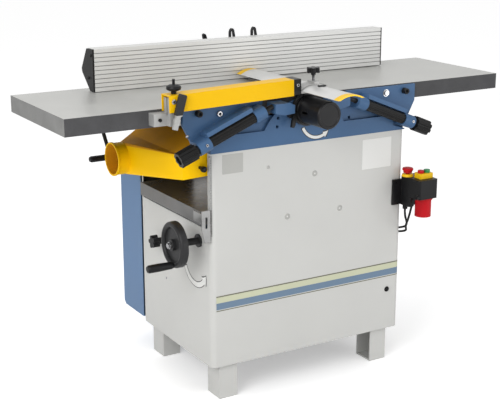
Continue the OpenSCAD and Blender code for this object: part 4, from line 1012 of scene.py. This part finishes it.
@dataclass
class UpperFrame(SubAssembly):
    """Cheeks, tie bars, covers and the chuck guard."""

    pad_y: float = high_end("chuck_guard_collar", Axis.Y)
    back_y: float = high_end("rear_cover", Axis.Y)
    arrow: ArcArrow = ArcArrow(
        "turning_arrow", (0.0218, pad_y, 0.844), radius=55.3 * MM, start=203, end=317, half=4.5 * MM
    )
    collar_screw_at: Point = (-0.036, low_end("chuck_guard_collar", Axis.Y), 0.925)
    cover_columns: tuple[float, ...] = (-0.30, 0.0, 0.30)
    cover_rows: tuple[float, ...] = (0.16, 0.60)

    def dress(self) -> None:
        """Paints the castings and covers."""
        Dresser.nodes(BLUE_PAINT, "front_cheek", "rear_cheek")
        Dresser.node("rear_cover", COVER_PAINT)
        Dresser.nodes(BARE_STEEL, "frame_bars", "bearing_blocks")
        Dresser.node("chuck_guard", BLACK_PLASTIC)
        Dresser.node("chuck_guard_collar", CHARCOAL)
        Dresser.node("chuck_guard_lever", GRIP_PLASTIC)

    def build(self) -> None:
        """Adds the turning arrow, the collar's screw and the rear cover's screws."""
        self.arrow.build(FRAME_BODY)
        Screw("collar_screw", self.collar_screw_at, 4 * MM, finish=BLACK_PLASTIC).build(FRAME_BODY)
        for number, x in enumerate(self.cover_columns):
            for level, z in enumerate(self.cover_rows):
                name = f"cover_screw_{number}_{level}"
                Screw(name, (x, self.back_y, z), 6 * MM, Head.DOME, Facing.BACK).build(FRAME_BODY)


@dataclass(frozen=True)
class BracketFixing:
    """Bolt, nut and lug screw of one lock bracket; each spot is x and z."""

    side: str
    bolt: Spot
    nut: Spot
    nut_head: Head
    lug: Spot


@dataclass
class PlaningTables(SubAssembly):
    """Planing tables with their locks."""

    top: float = high_end("outfeed_table", Axis.Z)
    left_x: float = low_end("outfeed_table", Axis.X)
    front_y: float = low_end("outfeed_table", Axis.Y)
    ground_depth: float = 3.5 * MM
    bracket_t: float = 10 * MM
    lug_y: float = -0.2905
    stop_screw_at: Spot = (-0.4215, 0.8395)
    fixings: tuple[BracketFixing, ...] = (
        BracketFixing("outfeed", (-0.3877, 0.9025), (-0.3184, 0.8952), Head.SOCKET, (-0.3847, 0.8190)),
        BracketFixing("infeed", (0.348, 0.9025), (0.2775, 0.901), Head.HEX, (0.3500, 0.8116)),
    )

    def dress(self) -> None:
        """Ground tops, dark cast edges with a lighter painted-light left end, blue brackets and black grips.
        """
        end_x = self.left_x + 1 * MM
        for fixing in self.fixings:
            Dresser.split(f"{fixing.side}_table", TABLE_EDGE, TABLE_TOP, self._on_top)
            Dresser.node(f"{fixing.side}_lock_bracket", BLUE_PAINT)
            Dresser.nodes(GRIP_PLASTIC, f"{fixing.side}_lock_grip", f"{fixing.side}_lock_screw")
        # The outfeed table's left end gets the lighter painted-light copy of the edge finish.
        Dresser.recolour(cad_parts["outfeed_table"], TABLE_END_LIT, lambda c, n: c[:, Axis.X] < end_x)
        Dresser.node("infeed_hinge_slide", GREY_IRON)

    def _on_top(self, middle: np.ndarray, normal: np.ndarray) -> np.ndarray:
        """True for faces that look up near the top of the tables."""
        return (normal[:, Axis.Z] > 0.5) & (middle[:, Axis.Z] > self.top - self.ground_depth)

    def build(self) -> None:
        """Adds the bracket bolts and the lugs' set screws."""
        y = self.front_y - self.bracket_t
        for fixing in self.fixings:
            wing = f"{fixing.side}_wing"
            x, z = fixing.bolt
            name = f"{fixing.side}_bracket_bolt"
            Screw(name, (x, y, z), 9.5 * MM, finish=BLACK_PLASTIC, rise=2.1).build(wing)
            x, z = fixing.nut
            Screw(f"{fixing.side}_bracket_nut", (x, y, z), 8.5 * MM, fixing.nut_head).build(wing)
        x, z = self.stop_screw_at
        Screw("outfeed_stop_screw", (x, y, z), 5 * MM, Head.DOME).build("outfeed_wing")
        for fixing in self.fixings:
            x, z = fixing.lug
            Screw(f"{fixing.side}_lug_screw", (x, self.lug_y, z), 4.5 * MM).build(f"{fixing.side}_wing")


@dataclass
class Fence(SubAssembly):
    """Tilting fence with its carriage and clamp levers; a spot on its left end is y and z."""

    left_x: float = low_end("fence_end_plates", Axis.X)
    face_y: float = low_end("fence_profile", Axis.Y)
    face_depth: float = 0.1 * MM
    groove_depth: float = 1.6 * MM
    screws_at: tuple[Spot, ...] = ((0.112, 1.035), (0.135, 0.965))

    def dress(self) -> None:
        """Anodised profile with painted shade in its grooves, black ends and levers, grey carriage."""
        # The groove faces get painted shade.
        Dresser.split("fence_profile", FENCE_ALLOY, FENCE_GROOVE_SHADE, self._in_groove)
        levers = ("fence_slide_lever", "fence_tilt_lever_left", "fence_tilt_lever_right")
        Dresser.nodes(BLACK_PLASTIC, "fence_end_plates", *levers)
        Dresser.node("fence_guide", BARE_STEEL)
        Dresser.node("fence_carriage", GREY_IRON)

    def _in_groove(self, middle: np.ndarray, normal: np.ndarray) -> np.ndarray:
        """True for faces just behind the fence's front face."""
        depth = middle[:, Axis.Y] - self.face_y
        return (depth > self.face_depth) & (depth < self.groove_depth)

    def build(self) -> None:
        """Adds the end plate's screws."""
        for number, spot in enumerate(self.screws_at):
            name = f"end_plate_screw_{number}"
            Screw(name, (self.left_x, *spot), 4.5 * MM, Head.SOCKET, Facing.LEFT, CHARCOAL).build("fence")


@dataclass
class BridgeGuard(SubAssembly):
    """Bridge guard with its arm, plate and knobs."""

    arm_y: float = low_end("guard_arm", Axis.Y)
    black_end_x: float = -0.0695
    lever_grip_z: float = 0.915
    spindle_top: float = 0.967
    stud_top: float = 0.975
    pivot_at: Point = (-0.4859, arm_y, 0.9525)
    pivot_rise: float = 0.4
    end_bolt_at: Point = (-0.0825, arm_y, 0.9640)
    clip: Plate = Plate(
        "plate_clip",
        (-0.014, -0.314, 0.9575),
        width=25 * MM,
        height=10 * MM,
        finish=BLACK_PLASTIC,
        facing=Facing.UP,
        corner=2 * MM,
        thickness=4 * MM,
    )
    bracket_screw_at: Point = (-0.518, -0.266, 0.9005)

    def dress(self) -> None:
        """Yellow arm, bare plate with yellow ends, black knobs."""
        Dresser.node("guard_arm", ARM_PAINT)
        Dresser.node("guard_plate", PLATE_ALLOY)
        Dresser.node("guard_bracket", BLOCK_ALLOY)
        splits: tuple[tuple[str, Finish, Finish, FaceTest], ...] = (
            ("guard_carrier", BLOCK_ALLOY, BLACK_PLASTIC, lambda c, n: c[:, Axis.X] < self.black_end_x),
            ("guard_clamp_lever", BLOCK_ALLOY, CHARCOAL, lambda c, n: c[:, Axis.Z] > self.lever_grip_z),
            ("guard_height_knob", BLACK_PLASTIC, BARE_STEEL, lambda c, n: c[:, Axis.Z] < self.spindle_top),
            ("guard_plate_knob", BLACK_PLASTIC, CHROME, lambda c, n: c[:, Axis.Z] < self.stud_top),
        )
        for name, finish, other, test in splits:
            Dresser.split(name, finish, other, test)

    def build(self) -> None:
        """Adds the arm's pivot bolt, the end block's bolt, the plate's clip and the bracket's screw."""
        Screw("arm_pivot_bolt", self.pivot_at, 7 * MM, rise=self.pivot_rise).build("guard_beam")
        Screw("end_block_bolt", self.end_bolt_at, 5 * MM).build("guard_beam")
        self.clip.build("guard_cover")
        screw = Screw("guard_bracket_screw", self.bracket_screw_at, 5 * MM, finish=BLACK_PLASTIC)
        screw.build("outfeed_wing")


@dataclass
class ThicknessingBed(SubAssembly):
    """Thicknessing bed with its lift, handwheel and lock."""

    top: float = high_end("thicknesser_bed", Axis.Z)
    shaft_end: float = low_end("handwheel_shaft", Axis.X)
    wheel_at: Spot = (middle_of("handwheel", Axis.Y), middle_of("handwheel", Axis.Z))

    def dress(self) -> None:
        """Ground bed with its top darkened by painted shade, bare screw, dark wheel."""
        low = self.top - 1 * MM
        # The bed's top gets the darker painted-shade finish.
        Dresser.split("thicknesser_bed", BED_EDGE, BED_TOP_SHADED, lambda c, n: c[:, Axis.Z] > low)
        Dresser.nodes(BARE_STEEL, "height_pointer", "lift_screw", "handwheel_shaft", "lift_gear_nut")
        Dresser.node("lift_base", GREY_IRON)
        Dresser.nodes(CHARCOAL, "handwheel", "handwheel_bush")
        Dresser.nodes(BLACK_PLASTIC, "handwheel_grip", "bed_lock_knob")

    def build(self) -> None:
        """Adds the handwheel's hub bolt."""
        Screw("hub_bolt", (self.shaft_end, *self.wheel_at), 8 * MM, Head.HEX, Facing.LEFT).build("wheel")


class Drive(SubAssembly):
    """Cutterblock, rollers, motor and belts."""

    def dress(self) -> None:
        """Bare steel cutterblock, dark motor and belts."""
        Dresser.node("cutterblock", BARE_STEEL)
        Dresser.node("planer_knives", KNIFE_STEEL)
        Dresser.node("infeed_roller", BARE_STEEL)
        Dresser.node("outfeed_roller", RUBBER)
        Dresser.nodes(GREY_IRON, "cutterblock_pulley", "motor_pulley")
        Dresser.node("motor", MOTOR_PAINT)
        Dresser.node("drive_belts", RUBBER)


@dataclass
class DustHood(SubAssembly):
    """Dust hood and the feed lever beside it."""

    knob_x: float = -0.3566
    knob_z: float = 0.731
    knob_r: float = 0.0095
    knob_y: float = -0.1865
    pipe_end: float = -0.40
    pipe_mouth: float = -0.47
    pipe_axis: Spot = (0.113, 0.711)
    pipe_r: float = 0.06
    shade_lean: float = 0.3

    def dress(self) -> None:
        """Yellow hood with a black knob and painted shade over and in its pipe, black lever."""
        Dresser.split("dust_hood", HOOD_PAINT, BLACK_PLASTIC, self._on_knob)
        # Painted shade on the slope over the pipe and inside the pipe.
        Dresser.recolour(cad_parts["dust_hood"], HOOD_SHADE, self._in_shade)
        Dresser.node("feed_lever", BLACK_PLASTIC)

    def _on_knob(self, middle: np.ndarray, normal: np.ndarray) -> np.ndarray:
        """True in front of the hood within the knob's radius."""
        off = np.hypot(middle[:, Axis.X] - self.knob_x, middle[:, Axis.Z] - self.knob_z)
        return (off < self.knob_r) & (middle[:, Axis.Y] < self.knob_y)

    def _in_shade(self, middle: np.ndarray, normal: np.ndarray) -> np.ndarray:
        """True where painted shade goes: on the slope over the pipe, and in the pipe, where faces look at
        the pipe's axis.

        Args:
            middle: middles of the faces.
            normal: normals of the faces.

        Returns:
            One truth value for each face.
        """
        x, y = middle[:, Axis.X], middle[:, Axis.Y]
        slope = (normal[:, Axis.Z] > self.shade_lean) & (x > self.pipe_mouth) & (y > self.knob_y)
        off = middle[:, 1:] - np.array(self.pipe_axis)
        bore = (np.einsum("ij,ij->i", off, normal[:, 1:]) < 0) & (np.hypot(*off.T) < self.pipe_r)
        return slope | (bore & (x < self.pipe_end))


@dataclass
class SwitchGear(SubAssembly):
    """Switch box, buttons, inlet and the two leads."""

    lead_diameter: float = 0.007
    steps: int = 6
    rear_lead: tuple[Point, ...] = (
        (0.352, -0.264, 0.5337), (0.352, -0.264, 0.524), (0.352, -0.264, 0.513), (0.354, -0.263, 0.502),
        (0.358, -0.261, 0.490), (0.364, -0.258, 0.479), (0.370, -0.253, 0.469), (0.375, -0.245, 0.459),
        (0.378, -0.236, 0.452), (0.378, -0.226, 0.447), (0.375, -0.217, 0.4435), (0.370, -0.2105, 0.4415),
        (0.364, -0.207, 0.441), (0.3573, -0.207, 0.441),
    )
    front_lead: tuple[Point, ...] = (
        (0.3437, -0.338, 0.576), (0.336, -0.338, 0.576), (0.3285, -0.338, 0.572), (0.323, -0.337, 0.562),
        (0.321, -0.335, 0.550), (0.321, -0.331, 0.538), (0.323, -0.325, 0.525), (0.327, -0.316, 0.512),
        (0.333, -0.305, 0.499), (0.340, -0.292, 0.486), (0.347, -0.279, 0.473), (0.355, -0.268, 0.462),
        (0.364, -0.258, 0.452), (0.373, -0.247, 0.443), (0.378, -0.235, 0.436), (0.377, -0.222, 0.431),
        (0.3715, -0.212, 0.4285), (0.365, -0.207, 0.428), (0.3573, -0.207, 0.428),
    )

    def dress(self) -> None:
        """Black box, yellow bezels, red and green buttons, red inlet."""
        Dresser.node("switch_box", BLACK_PLASTIC)
        Dresser.node("switch_bezels", YELLOW_PLASTIC)
        Dresser.nodes(RED_PLASTIC, "emergency_stop", "stop_button")
        Dresser.node("start_button", GREEN_PLASTIC)
        Dresser.node("power_inlet", RED_PLASTIC)

    def build(self) -> None:
        """Runs the two leads from the box to the cabinet's right end."""
        for name, route in (("rear_lead", self.rear_lead), ("front_lead", self.front_lead)):
            self._lead(name, self._smooth(np.array(route)))

    def _smooth(self, route: np.ndarray) -> np.ndarray:
        """A smooth line: each stretch between two route points is a cubic through four neighbours.

        Args:
            route: points by 3, in metres.

        Returns:
            The line through the route's points, points by 3.
        """
        padded = np.concatenate([2 * route[:1] - route[1:2], route, 2 * route[-1:] - route[-2:-1]])
        t = np.linspace(0, 1, self.steps, endpoint=False)[None, :, None]
        p0, p1, p2, p3 = (padded[i : len(padded) - 3 + i][:, None] for i in range(4))
        bend = 2 * p0 - 5 * p1 + 4 * p2 - p3
        twist = 3 * p1 - p0 - 3 * p2 + p3
        cubic = 2 * p1 + (p2 - p0) * t + bend * t**2 + twist * t**3
        return np.concatenate([(cubic / 2).reshape(-1, 3), route[-1:]])

    def _lead(self, name: str, line: np.ndarray) -> None:
        """A round lead: a circle of the lead's diameter carried along its line.

        Args:
            name: the piece's name.
            line: points by 3, in metres.
        """
        curve = bpy.data.curves.new(name, "CURVE")
        curve.dimensions = "3D"
        curve.bevel_depth = self.lead_diameter / 2
        curve.bevel_resolution = 5
        curve.use_fill_caps = True
        spline = curve.splines.new("POLY")
        spline.points.add(len(line) - 1)
        spline.points.foreach_set("co", np.concatenate([line, np.ones((len(line), 1))], 1).ravel())
        curve.materials.append(RUBBER.material())
        made = bpy.data.objects.new(name, curve)
        bpy.context.scene.collection.objects.link(made)
        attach(made, FRAME_BODY)
        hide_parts("switch_leads")


@dataclass(frozen=True)
class Lamp:
    """A soft square lamp: its place, the length of its side and its power in watts."""

    name: str
    at: Point
    size: float
    watts: float

    def build(self, aim: Point) -> None:
        """Hangs the lamp so that it looks at a point.

        Args:
            aim: the point.
        """
        data = bpy.data.lights.new(self.name, "AREA")
        data.size = self.size
        data.energy = self.watts
        lamp = bpy.data.objects.new(self.name, data)
        lamp.location = self.at
        lamp.rotation_euler = (Vector(aim) - Vector(self.at)).to_track_quat("-Z", "Y").to_euler()
        bpy.context.scene.collection.objects.link(lamp)


@dataclass
class Studio:
    """Floor, lights, background and the camera at the photo's viewing angle."""

    camera_at: Point = (-1.8798, -3.0406, 1.5219)
    azimuth: float = -30.742
    elevation: float = 15.504
    focal_px: float = 1138.69
    sensor_mm: float = 36.0
    floor_half: float = 30.0
    floor_z: float = -0.5 * MM
    floor_shade: float = 0.96
    floor_lift: float = 0.37
    world_light: float = 0.64
    aim: Point = (0, 0, 0.6)
    lamps: tuple[Lamp, ...] = (
        Lamp("key_light", (-2.9, -1.8, 2.2), 1.8, 58),
        Lamp("fill_light", (1.9, -3.0, 0.75), 1.4, 19),
        Lamp("top_light", (-0.6, 0.4, 4.2), 3.5, 30),
    )

    def build(self) -> None:
        """Builds the stage round the object."""
        self._floor()
        self._world()
        for lamp in self.lamps:
            lamp.build(self.aim)
        self._camera()
        bpy.context.scene.view_settings.view_transform = "Standard"

    def _floor(self) -> None:
        """A flat pale floor that looks white to the camera and keeps the object's shadow."""
        side = np.linspace(-self.floor_half, self.floor_half, 2)
        x, y = np.meshgrid(side, side)
        points = np.stack([x, y, np.full_like(x, self.floor_z)], 2)
        mesh = bpy.data.meshes.new("floor")
        mesh.from_pydata(points.reshape(-1, 3).tolist(), [], [(0, 1, 3, 2)])
        floor = bpy.data.objects.new("floor", mesh)
        bpy.context.scene.collection.objects.link(floor)
        made = bpy.data.materials.new("pale_floor")
        made.use_nodes = True
        shader = made.node_tree.nodes["Principled BSDF"]
        kit = NodeKit(made.node_tree)
        looks = {
            "Base Color": (self.floor_shade, self.floor_shade, self.floor_shade, 1),
            "Roughness": 0.9,
            "Specular IOR Level": 0,
            "Emission Color": (1, 1, 1, 1),
        }
        kit.fill(shader, looks)
        seen = kit.add("ShaderNodeLightPath").outputs["Is Camera Ray"]
        kit.link(kit.math("MULTIPLY", seen, self.floor_lift), shader.inputs["Emission Strength"])
        mesh.materials.append(made)

    def _world(self) -> None:
        """Even light for the object, plain white for what looks straight at the background."""
        world = bpy.data.worlds.new("studio")
        bpy.context.scene.world = world
        world.use_nodes = True
        kit = NodeKit(world.node_tree)
        paths = kit.add("ShaderNodeLightPath")
        seen = kit.math("MAXIMUM", paths.outputs["Is Camera Ray"], paths.outputs["Is Glossy Ray"])
        seen = kit.math("MAXIMUM", seen, paths.outputs["Is Transmission Ray"])
        strength = kit.math("MAXIMUM", seen, self.world_light)
        back = world.node_tree.nodes["Background"]
        kit.fill(back, {"Color": (1, 1, 1, 1)})
        kit.link(strength, back.inputs["Strength"])

    def _camera(self) -> None:
        """Looks from the photo's azimuth and elevation with the photo's focal length."""
        turn, lift = np.radians(self.azimuth), np.radians(self.elevation)
        back = Vector((np.sin(turn) * np.cos(lift), -np.cos(turn) * np.cos(lift), np.sin(lift)))
        right = Vector((0, 0, 1)).cross(back).normalized()
        up = back.cross(right)
        data = bpy.data.cameras.new("photo_camera")
        data.sensor_width = self.sensor_mm
        data.lens = self.focal_px * self.sensor_mm / PHOTO_WIDTH_PX
        camera = bpy.data.objects.new("photo_camera", data)
        axes = Matrix((right, up, back)).transposed()
        camera.matrix_world = Matrix.Translation(self.camera_at) @ axes.to_4x4()
        bpy.context.scene.collection.objects.link(camera)
        bpy.context.scene.camera = camera


def main() -> None:
    """Dresses and builds every sub-assembly in order."""
    logging.basicConfig(level=logging.INFO, format="%(name)s: %(message)s")
    kinds: tuple[type[SubAssembly], ...] = (
        Cabinet, UpperFrame, PlaningTables, Fence, BridgeGuard, ThicknessingBed, Drive, DustHood, SwitchGear
    )
    for kind in kinds:
        assembly = kind()
        assembly.dress()
        assembly.build()
    Studio().build()


if __name__ == "__main__":
    main()
